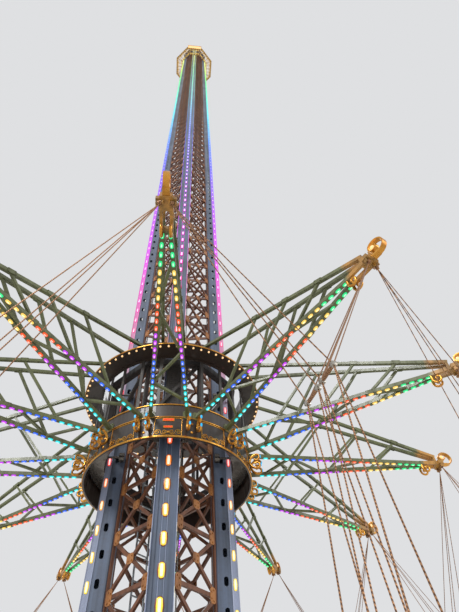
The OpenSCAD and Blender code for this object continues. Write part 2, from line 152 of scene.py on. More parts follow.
class Bench:
    """Edit mode work on one mesh at a time, with only what is picked selected."""

    @staticmethod
    def clear() -> None:
        """Deselect everything and leave nothing active."""
        for obj in list(bpy.context.selected_objects):
            obj.select_set(False)
        bpy.context.view_layer.objects.active = None

    @staticmethod
    def add(name: str, kind: Callable[..., set], **sizes: object) -> bpy.types.Object:
        """Add a primitive at its size and place.

        Args:
            name: Name of the new piece.
            kind: The operator that adds the primitive.
            **sizes: Its sizes and place.

        Returns:
            The new object.
        """
        Bench.clear()
        kind(**sizes)
        obj = bpy.context.object
        obj.name = name
        return obj

    @staticmethod
    def block(name: str, size: Sequence[float], at: Sequence[float] = (0, 0, 0)) -> bpy.types.Object:
        """Add a block of a size at a place and open it for shaping."""
        obj = Bench.add(name, bpy.ops.mesh.primitive_cube_add, size=1, location=at)
        Bench.pick(obj, lambda c, n: True)
        bpy.ops.transform.resize(value=size, center_override=at)
        return obj

    @staticmethod
    def drum(name: str, sides: int, radius: float, depth: float) -> bpy.types.Object:
        """Add an upright drum round the origin."""
        return Bench.add(name, bpy.ops.mesh.primitive_cylinder_add, vertices=sides, radius=radius, depth=depth)

    @staticmethod
    def pick(obj: bpy.types.Object, test: Test) -> None:
        """Select the faces whose centre and normal pass a test, in edit mode.

        Args:
            obj: The piece.
            test: Takes a face's centre and normal.
        """
        Bench.opened(obj, (False, False, True))
        shape = bmesh.from_edit_mesh(obj.data)
        for face in shape.faces:
            face.select_set(bool(test(face.calc_center_median(), face.normal)))
        bmesh.update_edit_mesh(obj.data)

    @staticmethod
    def pick_edges(obj: bpy.types.Object, test: Test) -> None:
        """Select the edges whose middle and direction pass a test, in edit mode."""
        Bench.opened(obj, (False, True, False))
        shape = bmesh.from_edit_mesh(obj.data)
        for edge in shape.edges:
            a, b = (v.co for v in edge.verts)
            edge.select_set(bool(test((a + b) / 2, (b - a).normalized())))
        bmesh.update_edit_mesh(obj.data)

    @staticmethod
    def pick_points(obj: bpy.types.Object, test: Callable[[Vector], bool]) -> None:
        """Select the points that pass a test, in edit mode."""
        Bench.opened(obj, (True, False, False))
        shape = bmesh.from_edit_mesh(obj.data)
        for point in shape.verts:
            point.select_set(bool(test(point.co)))
        shape.select_flush_mode()
        bmesh.update_edit_mesh(obj.data)

    @staticmethod
    def opened(obj: bpy.types.Object, mode: tuple[bool, bool, bool]) -> None:
        """Put a piece in edit mode with nothing selected."""
        if bpy.context.view_layer.objects.active is not obj or obj.mode != "EDIT":
            Bench.clear()
            obj.select_set(True)
            bpy.context.view_layer.objects.active = obj
            bpy.ops.object.mode_set(mode="EDIT")
        bpy.context.tool_settings.mesh_select_mode = mode
        bpy.ops.mesh.select_all(action="DESELECT")

    @staticmethod
    def move(value: Sequence[float]) -> None:
        """Move what is picked."""
        bpy.ops.transform.translate(value=value)

    @staticmethod
    def close(obj: bpy.types.Object, smooth: float | None = None) -> bpy.types.Object:
        """Leave edit mode, apply the place and shade the piece.

        Args:
            obj: The piece.
            smooth: Angle in degrees under which edges look round, or None for flat faces.

        Returns:
            The same piece.
        """
        if obj.mode == "EDIT":
            bpy.ops.object.mode_set(mode="OBJECT")
        Bench.clear()
        obj.select_set(True)
        bpy.context.view_layer.objects.active = obj
        bpy.ops.object.transform_apply(location=True, rotation=True, scale=True)
        if smooth is not None:
            bpy.ops.object.shade_smooth_by_angle(angle=math.radians(smooth))
        Bench.clear()
        return obj

    @staticmethod
    def join(name: str, parts: Sequence[bpy.types.Object]) -> bpy.types.Object:
        """Join pieces into one and name it."""
        Bench.clear()
        for part in parts:
            part.select_set(True)
        bpy.context.view_layer.objects.active = parts[0]
        if len(parts) > 1:
            bpy.ops.object.join()
        parts[0].name = name
        parts[0].data.name = name
        Bench.clear()
        return parts[0]

    @staticmethod
    def spread(name: str, master: bpy.types.Object, places: Sequence[Matrix], keep: bool = False) -> bpy.types.Object:
        """Copy a finished piece to many places and join the copies.

        Args:
            name: Name of the joined piece.
            master: The piece that is copied. It is removed unless keep is true.
            places: Where the copies stand.
            keep: Whether the master is wanted again.

        Returns:
            The joined piece.
        """
        parts = []
        for place in places:
            part = master.copy()
            part.data = master.data.copy()
            part.data.transform(place)
            bpy.context.collection.objects.link(part)
            parts.append(part)
        joined = Bench.join(name, parts)
        if not keep:
            bpy.data.objects.remove(master)
        return joined

    @staticmethod
    def ring(name: str, reach: float, height: float, size: Sequence[float], steps: int = 96,
             sweep: float = 360.0, start: float = 0.0, round_by: float = 0.3) -> bpy.types.Object:
        """Spin a rounded section about the mast axis.

        Args:
            name: Name of the piece.
            reach: Distance of the section's middle from the axis.
            height: Height of the section's middle.
            size: Width and height of the section.
            steps: Steps of the spin.
            sweep: Angle of the spin in degrees.
            start: Angle where it starts, in degrees.
            round_by: Share of the smaller size that the corners are rounded by.

        Returns:
            The closed ring or arc.
        """
        obj = Bench.add(name, bpy.ops.mesh.primitive_plane_add, size=1,
                        rotation=(math.pi / 2, 0, 0), location=(reach, 0, height))
        bpy.ops.object.transform_apply(location=True, rotation=True, scale=True)
        Bench.pick(obj, lambda c, n: True)
        bpy.ops.transform.resize(value=(size[0], 1, size[1]), center_override=(reach, 0, height))
        Bench.pick_points(obj, lambda p: True)
        bpy.ops.mesh.bevel(offset=round_by * min(size), segments=3, affect="VERTICES")
        Bench.pick(obj, lambda c, n: True)
        full = sweep >= 360
        bpy.ops.mesh.spin(steps=steps, angle=math.radians(sweep), center=(0, 0, 0), axis=(0, 0, 1))
        if full:
            Bench.pick(obj, lambda c, n: abs(c.y) < 1e-6 and abs(n.y) > 0.99)
            bpy.ops.mesh.delete(type="ONLY_FACE")
        Bench.pick(obj, lambda c, n: True)
        bpy.ops.mesh.remove_doubles(threshold=1e-6)
        bpy.ops.mesh.normals_make_consistent(inside=False)
        Bench.close(obj, 40)
        obj.data.transform(Matrix.Rotation(math.radians(start + sweep), 4, "Z"))
        return obj

    @staticmethod
    def scroll(name: str, reach: float, size: Sequence[float], turn: int) -> bpy.types.Object:
        """Spin a flat section through two spirals that make an S scroll on the plane z = 0.

        Args:
            name: Name of the piece.
            reach: Radius of the outer turns.
            size: Width and depth of the section.
            turn: 1 or -1 for one hand or the other.

        Returns:
            The closed scroll, with its middle at the origin.
        """
        halves = []
        for half in range(2):
            obj = Bench.add(name, bpy.ops.mesh.primitive_plane_add, size=1,
                            rotation=(math.pi / 2, 0, 0), location=(reach, 0, 0))
            bpy.ops.object.transform_apply(location=True, rotation=True, scale=True)
            Bench.pick(obj, lambda c, n: True)
            bpy.ops.transform.resize(value=(size[0], 1, size[1]), center_override=(reach, 0, 0))
            centre, radius, side = 0.0, reach, 1
            for share, sweep in ((1.0, 180), (0.66, 180), (0.42, 200)):
                centre += side * (radius - share * reach)
                radius = share * reach
                bpy.ops.mesh.spin(steps=round(sweep / 22), angle=math.radians(turn * sweep), center=(centre, 0, 0),
                                  axis=(0, 0, 1))
                side = -side
            Bench.pick(obj, lambda c, n: True)
            bpy.ops.mesh.normals_make_consistent(inside=False)
            Bench.close(obj, 35)
            place = Matrix.Translation((-reach, 0, 0))
            obj.data.transform(Matrix.Rotation(math.pi * half, 4, "Z") @ place)
            halves.append(obj)
        return Bench.join(name, halves)

    @staticmethod
    def lens(name: str, length: float, width: float, rise: float, sides: int = 12) -> bpy.types.Object:
        """Model a long lamp glass lying on the plane z = 0, along X, domed towards +Z.

        Args:
            name: Name of the piece.
            length: Whole length.
            width: Width.
            rise: Height of the dome.
            sides: Sides of the drum that it starts from.

        Returns:
            The closed glass.
        """
        obj = Bench.drum(name, sides, width / 2, rise)
        half = (length - width) / 2
        Bench.pick_points(obj, lambda p: p.x > 1e-6)
        Bench.move((half, 0, 0))
        Bench.pick_points(obj, lambda p: p.x < -1e-6)
        Bench.move((-half, 0, 0))
        Bench.pick_edges(obj, lambda m, d: m.z > 0.4 * rise and abs(d.z) < 0.1)
        bpy.ops.mesh.bevel(offset=0.62 * rise, segments=2, affect="EDGES")
        Bench.pick(obj, lambda c, n: True)
        Bench.move((0, 0, rise / 2))
        return Bench.close(obj, 50)

    @staticmethod
    def bolt(name: str, across: float, depth: float) -> bpy.types.Object:
        """Model a hexagon bolt head on its washer, standing on z = 0."""
        head = Bench.drum(name, 6, across / 2, depth)
        Bench.pick(head, lambda c, n: n.z > 0.9)
        bpy.ops.mesh.inset(thickness=0.12 * across)
        Bench.move((0, 0, 0.12 * depth))
        Bench.pick(head, lambda c, n: True)
        Bench.move((0, 0, 0.75 * depth))
        Bench.close(head)
        washer = Bench.drum(f"{name}_washer", 12, 0.72 * across, 0.3 * depth)
        Bench.pick_edges(washer, lambda m, d: m.z > 0.1 * depth and abs(d.z) < 0.1)
        bpy.ops.mesh.bevel(offset=0.1 * depth, segments=1, affect="EDGES")
        Bench.pick(washer, lambda c, n: True)
        Bench.move((0, 0, 0.15 * depth))
        Bench.close(washer)
        return Bench.join(name, [head, washer])


class LampMap(Enum):
    """How a lamp's colour is chosen."""

    BY_HEIGHT = "lamp_by_height"
    BY_REACH = "lamp_by_reach"


class Graph:
    """Small helper that adds and links shader nodes."""

    def __init__(self, tree: bpy.types.NodeTree) -> None:
        """Keep the tree that the nodes go into."""
        self.tree = tree

    def add(self, kind: str, **values: object) -> bpy.types.Node:
        """Add a node and set its plain settings."""
        node = self.tree.nodes.new(kind)
        for key, value in values.items():
            setattr(node, key, value)
        return node

    def link(self, source: bpy.types.NodeSocket, target: bpy.types.NodeSocket) -> None:
        """Link two sockets."""
        self.tree.links.new(source, target)

    def math(self, how: str, a: object, b: object = 0.0, clamp: bool = False) -> bpy.types.NodeSocket:
        """Add one sum and return its result.

        Args:
            how: Name of the operation.
            a: A socket or a number.
            b: A socket or a number.
            clamp: Whether the result is kept between 0 and 1.

        Returns:
            The result's socket.
        """
        node = self.add("ShaderNodeMath", operation=how, use_clamp=clamp)
        for socket, value in zip(node.inputs, (a, b)):
            if isinstance(value, bpy.types.NodeSocket):
                self.link(value, socket)
            else:
                socket.default_value = value
        return node.outputs[0]

    def noise(self, place: bpy.types.NodeSocket, scale: object, detail: float = 4.0) -> bpy.types.NodeSocket:
        """Add a noise and return its value."""
        node = self.add("ShaderNodeTexNoise")
        node.inputs["Detail"].default_value = detail
        self.link(place, node.inputs["Vector"])
        if isinstance(scale, bpy.types.NodeSocket):
            self.link(scale, node.inputs["Scale"])
        else:
            node.inputs["Scale"].default_value = scale
        return node.outputs["Fac"]

    def stretched(self, place: bpy.types.NodeSocket, scale: Sequence[float]) -> bpy.types.NodeSocket:
        """Stretch a place and return the new one."""
        node = self.add("ShaderNodeMapping")
        node.inputs["Scale"].default_value = scale
        self.link(place, node.inputs["Vector"])
        return node.outputs[0]

    def mix(self, share: object, a: object, b: object) -> bpy.types.NodeSocket:
        """Mix two colours by a share and return the result."""
        node = self.add("ShaderNodeMix", data_type="RGBA")
        for index, value in ((0, share), (6, a), (7, b)):
            if isinstance(value, bpy.types.NodeSocket):
                self.link(value, node.inputs[index])
            elif index == 0:
                node.inputs[0].default_value = value
            else:
                node.inputs[index].default_value = (*value, 1)
        return node.outputs[2]

    def ramp(self, share: bpy.types.NodeSocket, stops: Sequence[tuple[float, Colour]], step: bool = False) -> bpy.types.NodeSocket:
        """Add a colour ramp and return its colour."""
        node = self.add("ShaderNodeValToRGB")
        ramp = node.color_ramp
        ramp.interpolation = "CONSTANT" if step else "LINEAR"
        while len(ramp.elements) < len(stops):
            ramp.elements.new(1.0)
        for element, (at, colour) in zip(ramp.elements, stops):
            element.position = at
            element.color = (*colour, 1)
        self.link(share, node.inputs[0])
        return node.outputs[0]


class Effects:
    """Shader node groups that several finishes share."""

    @staticmethod
    def new(name: str, takes: dict[str, str], gives: dict[str, str]) -> tuple[Graph, dict, dict]:
        """Start a group with named sockets.

        Args:
            name: Name of the group.
            takes: Socket types of its inputs by name.
            gives: Socket types of its outputs by name.

        Returns:
            The graph, its input sockets and its output sockets.
        """
        tree = bpy.data.node_groups.new(name, "ShaderNodeTree")
        for key, kind in takes.items():
            tree.interface.new_socket(key, in_out="INPUT", socket_type=kind)
        for key, kind in gives.items():
            tree.interface.new_socket(key, in_out="OUTPUT", socket_type=kind)
        graph = Graph(tree)
        start, end = graph.add("NodeGroupInput"), graph.add("NodeGroupOutput")
        return graph, {k: start.outputs[k] for k in takes}, {k: end.inputs[k] for k in gives}

    @staticmethod
    def weathering() -> None:
        """Rain streaks, dust and small chips on paint."""
        graph, takes, gives = Effects.new(
            "weathering",
            {"Place": "NodeSocketVector", "Paint": "NodeSocketColor", "Dirt": "NodeSocketColor",
             "Size": "NodeSocketFloat", "Wear": "NodeSocketFloat"},
            {"Colour": "NodeSocketColor", "Roughness": "NodeSocketFloat", "Height": "NodeSocketFloat"},
        )
        cloud = graph.noise(takes["Place"], takes["Size"], 6)
        streak = graph.noise(graph.stretched(takes["Place"], (14, 14, 0.5)), 1.6, 5)
        fine = graph.noise(takes["Place"], graph.math("MULTIPLY", takes["Size"], 22.0), 3)
        both = graph.math("ADD", graph.math("MULTIPLY", cloud, 0.9), graph.math("MULTIPLY", streak, 0.9))
        mask = graph.math("MULTIPLY", graph.math("SUBTRACT", both, 0.78), 3.2, True)
        mask = graph.math("MULTIPLY", mask, takes["Wear"], True)
        chips = graph.math("MULTIPLY", graph.math("SUBTRACT", fine, 0.66), 9.0, True)
        chips = graph.math("MULTIPLY", chips, takes["Wear"], True)
        shade = graph.mix(graph.math("MULTIPLY", fine, 0.22), takes["Paint"], takes["Dirt"])
        soiled = graph.mix(mask, shade, takes["Dirt"])
        graph.link(graph.mix(chips, soiled, (0.16, 0.10, 0.07)), gives["Colour"])
        rough = graph.math("ADD", 0.34, graph.math("MULTIPLY", mask, 0.34))
        graph.link(graph.math("ADD", rough, graph.math("MULTIPLY", fine, 0.12)), gives["Roughness"])
        graph.link(graph.math("SUBTRACT", graph.math("MULTIPLY", fine, 0.5), chips), gives["Height"])

    @staticmethod
    def metal_grain() -> None:
        """Cast and rubbed metal with darker hollows."""
        graph, takes, gives = Effects.new(
            "metal_grain",
            {"Place": "NodeSocketVector", "Metal": "NodeSocketColor", "Hollow": "NodeSocketColor",
             "Size": "NodeSocketFloat"},
            {"Colour": "NodeSocketColor", "Roughness": "NodeSocketFloat", "Height": "NodeSocketFloat"},
        )
        cloud = graph.noise(takes["Place"], takes["Size"], 5)
        fine = graph.noise(takes["Place"], graph.math("MULTIPLY", takes["Size"], 14.0), 3)
        mask = graph.math("MULTIPLY", graph.math("SUBTRACT", cloud, 0.42), 2.4, True)
        graph.link(graph.mix(mask, takes["Metal"], takes["Hollow"]), gives["Colour"])
        rough = graph.math("ADD", graph.math("MULTIPLY", mask, 0.22), graph.math("MULTIPLY", fine, 0.2))
        graph.link(graph.math("ADD", rough, 0.14), gives["Roughness"])
        graph.link(graph.math("ADD", fine, graph.math("MULTIPLY", cloud, 0.6)), gives["Height"])

    @staticmethod
    def rope_lay() -> None:
        """Strands of a wire rope that hangs more or less upright."""
        graph, takes, gives = Effects.new(
            "rope_lay",
            {"Place": "NodeSocketVector", "Strand": "NodeSocketColor", "Gap": "NodeSocketColor"},
            {"Colour": "NodeSocketColor", "Height": "NodeSocketFloat"},
        )
        wave = graph.add("ShaderNodeTexWave", wave_type="BANDS", bands_direction="DIAGONAL")
        wave.inputs["Scale"].default_value = 38
        wave.inputs["Distortion"].default_value = 0.6
        graph.link(takes["Place"], wave.inputs["Vector"])
        dust = graph.noise(takes["Place"], 7.0)
        share = graph.math("MULTIPLY", wave.outputs["Fac"], graph.math("ADD", dust, 0.4), True)
        graph.link(graph.mix(share, takes["Gap"], takes["Strand"]), gives["Colour"])
        graph.link(wave.outputs["Fac"], gives["Height"])

    @staticmethod
    def lamp_by_height() -> None:
        """Colours of the mast's lamp strips, from yellow green at the foot to yellow green at the top."""
        graph, takes, gives = Effects.new(
            LampMap.BY_HEIGHT.value, {"Place": "NodeSocketVector"}, {"Colour": "NodeSocketColor"})
        split = graph.add("ShaderNodeSeparateXYZ")
        graph.link(takes["Place"], split.inputs[0])
        stops = [
            (0.0, linear("#b8f03c")), (1.9, linear("#e6f03c")), (2.7, linear("#ffdc46")),
            (3.5, linear("#ffb43c")), (3.95, linear("#ff7828")), (4.2, linear("#ff2828")),
            (6.0, linear("#ff2850")), (7.4, linear("#f528aa")), (9.5, linear("#d228dc")),
            (11.5, linear("#b432e6")), (13.5, linear("#823cf0")), (15.5, linear("#4646ff")),
            (17.6, linear("#1e6eff")), (19.5, linear("#1ea0f5")), (22.0, linear("#14d2e6")),
            (26.0, linear("#14e6be")), (30.0, linear("#28dc6e")), (32.5, linear("#82e63c")),
            (34.5, linear("#cdeb32")), (38.9, linear("#ebf050")),
        ]
        share = graph.math("DIVIDE", split.outputs[2], 40.0)
        graph.link(graph.ramp(share, [(z / 40, c) for z, c in stops]), gives["Colour"])

    @staticmethod
    def lamp_by_reach() -> None:
        """Colours of the arms' lamps in six groups from the hub to the tip."""
        graph, takes, gives = Effects.new(
            LampMap.BY_REACH.value, {"Place": "NodeSocketVector"}, {"Colour": "NodeSocketColor"})
        flat = graph.add("ShaderNodeVectorMath", operation="MULTIPLY")
        flat.inputs[1].default_value = (1, 1, 0)
        graph.link(takes["Place"], flat.inputs[0])
        reach = graph.add("ShaderNodeVectorMath", operation="LENGTH")
        graph.link(flat.outputs[0], reach.inputs[0])
        groups = ["#1ee6eb", "#2869ff", "#c83cf5", "#ff5a28", "#ffd264", "#28e68c"]
        stops = [(0.0, linear(groups[0]))]
        for i in range(1, 6):
            stops.append(((1.259 + (4 * i - 0.5) * 0.09443) / 4, linear(groups[i])))
        share = graph.math("DIVIDE", reach.outputs["Value"], 4.0)
        graph.link(graph.ramp(share, stops, True), gives["Colour"])

    @staticmethod
    def reach_mask() -> None:
        """Mask that rises from 0 to 1 between two distances from the axis."""
        graph, takes, gives = Effects.new(
            "reach_mask", {"Place": "NodeSocketVector", "Start": "NodeSocketFloat", "End": "NodeSocketFloat"},
            {"Mask": "NodeSocketFloat"})
        flat = graph.add("ShaderNodeVectorMath", operation="MULTIPLY")
        flat.inputs[1].default_value = (1, 1, 0)
        graph.link(takes["Place"], flat.inputs[0])
        reach = graph.add("ShaderNodeVectorMath", operation="LENGTH")
        graph.link(flat.outputs[0], reach.inputs[0])
        past = graph.math("SUBTRACT", reach.outputs["Value"], takes["Start"])
        span = graph.math("SUBTRACT", takes["End"], takes["Start"])
        graph.link(graph.math("DIVIDE", past, span, True), gives["Mask"])

    @staticmethod
    def make_all() -> None:
        """Make every shared group once."""
        Effects.reach_mask()
        Effects.weathering()
        Effects.metal_grain()
        Effects.rope_lay()
        Effects.lamp_by_height()
        Effects.lamp_by_reach()


class Finish:
    """Start of every finish: a material with one shader and the place on the piece."""

    name: str

    def start(self) -> tuple[bpy.types.Material, Graph, bpy.types.Node, bpy.types.NodeSocket]:
        """Make the material.

        Returns:
            The material, its graph, its shader and the place on the piece.
        """
        made = bpy.data.materials.new(self.name)
        made.use_nodes = True
        graph = Graph(made.node_tree)
        shader = next(n for n in made.node_tree.nodes if n.type == "BSDF_PRINCIPLED")
        place = graph.add("ShaderNodeTexCoord").outputs["Object"]
        return made, graph, shader, place

    @staticmethod
    def group(graph: Graph, name: str, place: bpy.types.NodeSocket, **values: object) -> bpy.types.Node:
        """Add a shared group with its own values and return it."""
        node = graph.add("ShaderNodeGroup", node_tree=bpy.data.node_groups[name])
        graph.link(place, node.inputs["Place"])
        for key, value in values.items():
            node.inputs[key].default_value = (*value, 1) if isinstance(value, tuple) else value
        return node

    @staticmethod
    def bump(graph: Graph, shader: bpy.types.Node, height: bpy.types.NodeSocket, depth: float) -> None:
        """Raise the surface by a height over a depth in metres."""
        node = graph.add("ShaderNodeBump")
        node.inputs["Distance"].default_value = depth
        node.inputs["Strength"].default_value = 0.6
        graph.link(height, node.inputs["Height"])
        graph.link(node.outputs[0], shader.inputs["Normal"])


@dataclass(frozen=True)
class Paint(Finish):
    """Sprayed paint that has stood outdoors."""

    name: str
    colour: str
    dirt: str
    size: float = 2.2
    wear: float = 0.6
    metallic: float = 0.0
    coat: float = 0.15
    tip: str | None = None

    def make(self) -> bpy.types.Material:
        """Make the material, with a second colour towards the arm tips where there is one."""
        made, graph, shader, place = self.start()
        node = self.group(graph, "weathering", place, Paint=linear(self.colour), Dirt=linear(self.dirt),
                          Size=self.size, Wear=self.wear)
        if self.tip:
            reach = self.group(graph, "reach_mask", place, Start=3.46, End=3.52).outputs["Mask"]
            graph.link(graph.mix(reach, linear(self.colour), linear(self.tip)), node.inputs["Paint"])
        graph.link(node.outputs["Colour"], shader.inputs["Base Color"])
        graph.link(node.outputs["Roughness"], shader.inputs["Roughness"])
        shader.inputs["Metallic"].default_value = self.metallic
        shader.inputs["Coat Weight"].default_value = self.coat
        self.bump(graph, shader, node.outputs["Height"], 0.0012)
        return made


@dataclass(frozen=True)
class Metal(Finish):
    """Bare or gilded metal."""

    name: str
    colour: str
    hollow: str
    size: float = 9.0
    metallic: float = 0.85

    def make(self) -> bpy.types.Material:
        """Make the material."""
        made, graph, shader, place = self.start()
        node = self.group(graph, "metal_grain", place, Metal=linear(self.colour), Hollow=linear(self.hollow),
                          Size=self.size)
        graph.link(node.outputs["Colour"], shader.inputs["Base Color"])
        graph.link(node.outputs["Roughness"], shader.inputs["Roughness"])
        shader.inputs["Metallic"].default_value = self.metallic
        self.bump(graph, shader, node.outputs["Height"], 0.0008)
        return made


@dataclass(frozen=True)
class WireRope(Finish):
    """Laid wire rope."""

    name: str
    colour: str
    gap: str

    def make(self) -> bpy.types.Material:
        """Make the material."""
        made, graph, shader, place = self.start()
        node = self.group(graph, "rope_lay", place, Strand=linear(self.colour), Gap=linear(self.gap))
        graph.link(node.outputs["Colour"], shader.inputs["Base Color"])
        shader.inputs["Roughness"].default_value = 0.42
        shader.inputs["Metallic"].default_value = 0.55
        self.bump(graph, shader, node.outputs["Height"], 0.0012)
        return made


@dataclass(frozen=True)
class Glow(Finish):
    """Lit lamp glass: one colour, or colours by height or by reach."""

    name: str
    strength: float
    colour: str = "#ffffff"
    chosen: LampMap | None = None
    pale: float = 0.0

    def make(self) -> bpy.types.Material:
        """Make the material."""
        made, graph, shader, place = self.start()
        flicker = graph.math("ADD", graph.math("MULTIPLY", graph.noise(place, 60.0), 0.3), self.pale - 0.15, True)
        if self.chosen:
            tint = self.group(graph, self.chosen.value, place).outputs["Colour"]
        else:
            tint = linear(self.colour)
        lit = graph.mix(flicker, tint, (1.0, 0.97, 0.9))
        graph.link(lit, shader.inputs["Emission Color"])
        graph.link(graph.mix(0.7, lit, (0.0, 0.0, 0.0)), shader.inputs["Base Color"])
        shader.inputs["Emission Strength"].default_value = self.strength
        shader.inputs["Roughness"].default_value = 0.2
        return made


@dataclass(frozen=True)
class PaintedGlowRail(Finish):
    """Pale painted rail with painted lamp light: above a height its colour is mixed towards the colours of the lamps
    beside it, and it glows faintly in them though it is no lamp.
    """

    name: str
    colour: str
    dirt: str
    strength: float
    height: float
    rise: float

    def make(self) -> bpy.types.Material:
        """Make the material."""
        made, graph, shader, place = self.start()
        node = self.group(graph, "weathering", place, Paint=linear(self.colour), Dirt=linear(self.dirt),
                          Size=3.0, Wear=0.3)
        graph.link(node.outputs["Roughness"], shader.inputs["Roughness"])
        split = graph.add("ShaderNodeSeparateXYZ")
        graph.link(place, split.inputs[0])
        past = graph.math("SUBTRACT", split.outputs[2], self.height)
        share = graph.math("DIVIDE", past, self.rise, True)
        tint = self.group(graph, LampMap.BY_HEIGHT.value, place).outputs["Colour"]
        # Painted lamp light: above the height the rail's colour is mixed up to 70 % towards the lamp colours, and it
        # glows in them.
        graph.link(graph.mix(graph.math("MULTIPLY", share, 0.7), node.outputs["Colour"], tint), shader.inputs["Base Color"])
        graph.link(graph.mix(share, (0.0, 0.0, 0.0), tint), shader.inputs["Emission Color"])
        shader.inputs["Emission Strength"].default_value = self.strength
        self.bump(graph, shader, node.outputs["Height"], 0.0008)
        return made


@dataclass(frozen=True)
class Backdrop(Finish):
    """Plain pale floor."""

    name: str
    colour: str

    def make(self) -> bpy.types.Material:
        """Make the material."""
        made, graph, shader, place = self.start()
        cloud = graph.noise(place, 0.4, 2)
        pale = linear(self.colour)
        graph.link(graph.mix(graph.math("MULTIPLY", cloud, 0.08), pale, tuple(0.9 * c for c in pale)),
                   shader.inputs["Base Color"])
        shader.inputs["Roughness"].default_value = 0.8
        return made


class Finishes:
    """Every finish of the ride, made once."""

    def __init__(self) -> None:
        """Make the materials."""
        made = [
            Paint("column_paint", "#66748c", "#3c3f44", 1.6, 0.55),
            Paint("brace_paint", "#7c4c30", "#44291c", 2.4, 0.6),
            Paint("base_paint", "#5b6670", "#38342f", 2.0, 0.8),
            Paint("arm_paint", "#6a7048", "#3e4028", 2.6, 0.6, tip="#c08a3c"),
            Paint("carriage_paint", "#3f3c3a", "#26211e", 2.2, 0.7),
            Paint("drum_paint", "#33271f", "#1c1612", 2.0, 0.5, 0.0, 0.3),
            Paint("canopy_paint", "#b08438", "#6a4a1e", 3.0, 0.5),
            Paint("seat_shell", "#9e2b22", "#5c1c18", 4.0, 0.4, 0.0, 0.6),
            Paint("dark_rubber", "#232323", "#3a3632", 6.0, 0.4, 0.0, 0.0),
            Paint("plate_paint", "#b87a40", "#633c22", 3.0, 0.6),
            # Rail paint with painted lamp light: from 5 m up, over 4 m, it is tinted towards the lamp colours and glows
            # in them.
            PaintedGlowRail("strip_rail", "#a0aac4", "#5a6276", 0.45, 5.0, 4.0),
            Paint("belt_web", "#b9b2a0", "#7d766a", 30.0, 0.3, 0.0, 0.0),
            Paint("pad_vinyl", "#2c3038", "#4a443e", 5.0, 0.3, 0.0, 0.2),
            Metal("scroll_gold", "#dca046", "#93551f", 8.0),
            Metal("galvanised_steel", "#9aa0a4", "#6d7072", 6.0, 0.8),
            Metal("roller_iron", "#6f6a64", "#3d3833", 10.0, 0.8),
            Metal("bright_steel", "#b9b4aa", "#7d7466", 12.0, 0.9),
            WireRope("rope_steel", "#b98a62", "#5a3c28"),
            WireRope("hoist_steel", "#8d8a84", "#3f3c38"),
            Paint("lamp_bezel", "#8a3f1e", "#4a2212", 8.0, 0.3, 0.4, 0.4),
            Glow("mast_glass", 0.95, chosen=LampMap.BY_HEIGHT, pale=0.0),
            Glow("mast_core", 1.5, chosen=LampMap.BY_HEIGHT, pale=0.5),
            Glow("arm_glass", 0.95, chosen=LampMap.BY_REACH, pale=0.0),
            Glow("arm_core", 1.5, chosen=LampMap.BY_REACH, pale=0.4),
            Glow("warm_glass", 1.2, "#ffc064", pale=0.2),
            Glow("pale_glass", 1.0, "#ffd45a", pale=0.1),
            Glow("red_glass", 1.1, "#ff3c12", pale=0.0),
            Glow("cyan_glass", 1.0, "#14b4f0", pale=0.0),
            Backdrop("studio_pale", "#dcdad6"),
        ]
        self.by_name = {finish.name: finish.make() for finish in made}

    def dress(self, obj: bpy.types.Object, finish: str) -> bpy.types.Object:
        """Give a piece one finish in all its slots."""
        slots = obj.data.materials
        if not len(slots):
            slots.append(self.by_name[finish])
        for i in range(len(slots)):
            slots[i] = self.by_name[finish]
        return obj

    def nodes(self, frame: dict) -> None:
        """Give every solid its finish.
        """
        chosen = {
            "foundation": "base_paint", "column_shoes": "base_paint", "ladder": "galvanised_steel",
            "hoist_ropes": "hoist_steel", "mast_head": "column_paint", "head_sheaves": "roller_iron",
            "crown": "canopy_paint", "carriage_frame": "carriage_paint", "guide_rollers": "roller_iron",
            "slewing_ring": "roller_iron", "hub_lower_ring": "drum_paint", "hub_upper_ring": "drum_paint",
            "hub_posts": "carriage_paint", "root_scrolls": "scroll_gold", "end_scrolls": "scroll_gold",
        }
        families = {"column_": "column_paint", "lattice_": "brace_paint", "arm_": "arm_paint",
                    "swing_ropes_": "rope_steel", "seat_": "seat_shell"}
        for name, node in frame["nodes"].items():
            finish = chosen.get(name) or next(v for k, v in families.items() if name.startswith(k))
            self.dress(node, finish)
            LOG.info("%s takes %s", name, finish)


@dataclass
class Fitter:
    """Dresses a new piece, puts it on its body and reports it."""

    finishes: Finishes

    def fit(self, obj: bpy.types.Object, finish: str, body: str, slot: str | None = None) -> bpy.types.Object:
        """Finish one piece.

        Args:
            obj: The piece, closed and with its place in its mesh.
            finish: Name of its finish.
            body: The body that it rides on.
            slot: The record's material slot, where it has one. Not used.

        Returns:
            The same piece.
        """
        self.finishes.dress(obj, finish)
        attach(obj, body)
        LOG.info("%s: %d faces, %s, on %s", obj.name, len(obj.data.polygons), finish, body)
        return obj


@dataclass(frozen=True)
class Strip:
    """One upright row of lamps: where it stands on its column and how large its lamps are."""

    name: str
    reach: float
    side: float
    first: float
    count: int
    bezel: tuple[float, float, float] | None
    glass: tuple[float, float, float]
    core: tuple[float, float, float]
    sides: int

    def lay(self) -> Matrix:
        """Place of the strip on the column on +X, with the lamps' length upright and facing out."""
        if self.side:
            turn = Matrix.Rotation(math.radians(90 if self.side > 0 else -90), 4, "Z")
            return Matrix.Translation((self.reach, self.side, 0)) @ turn
        return Matrix.Translation((self.reach, 0, 0))


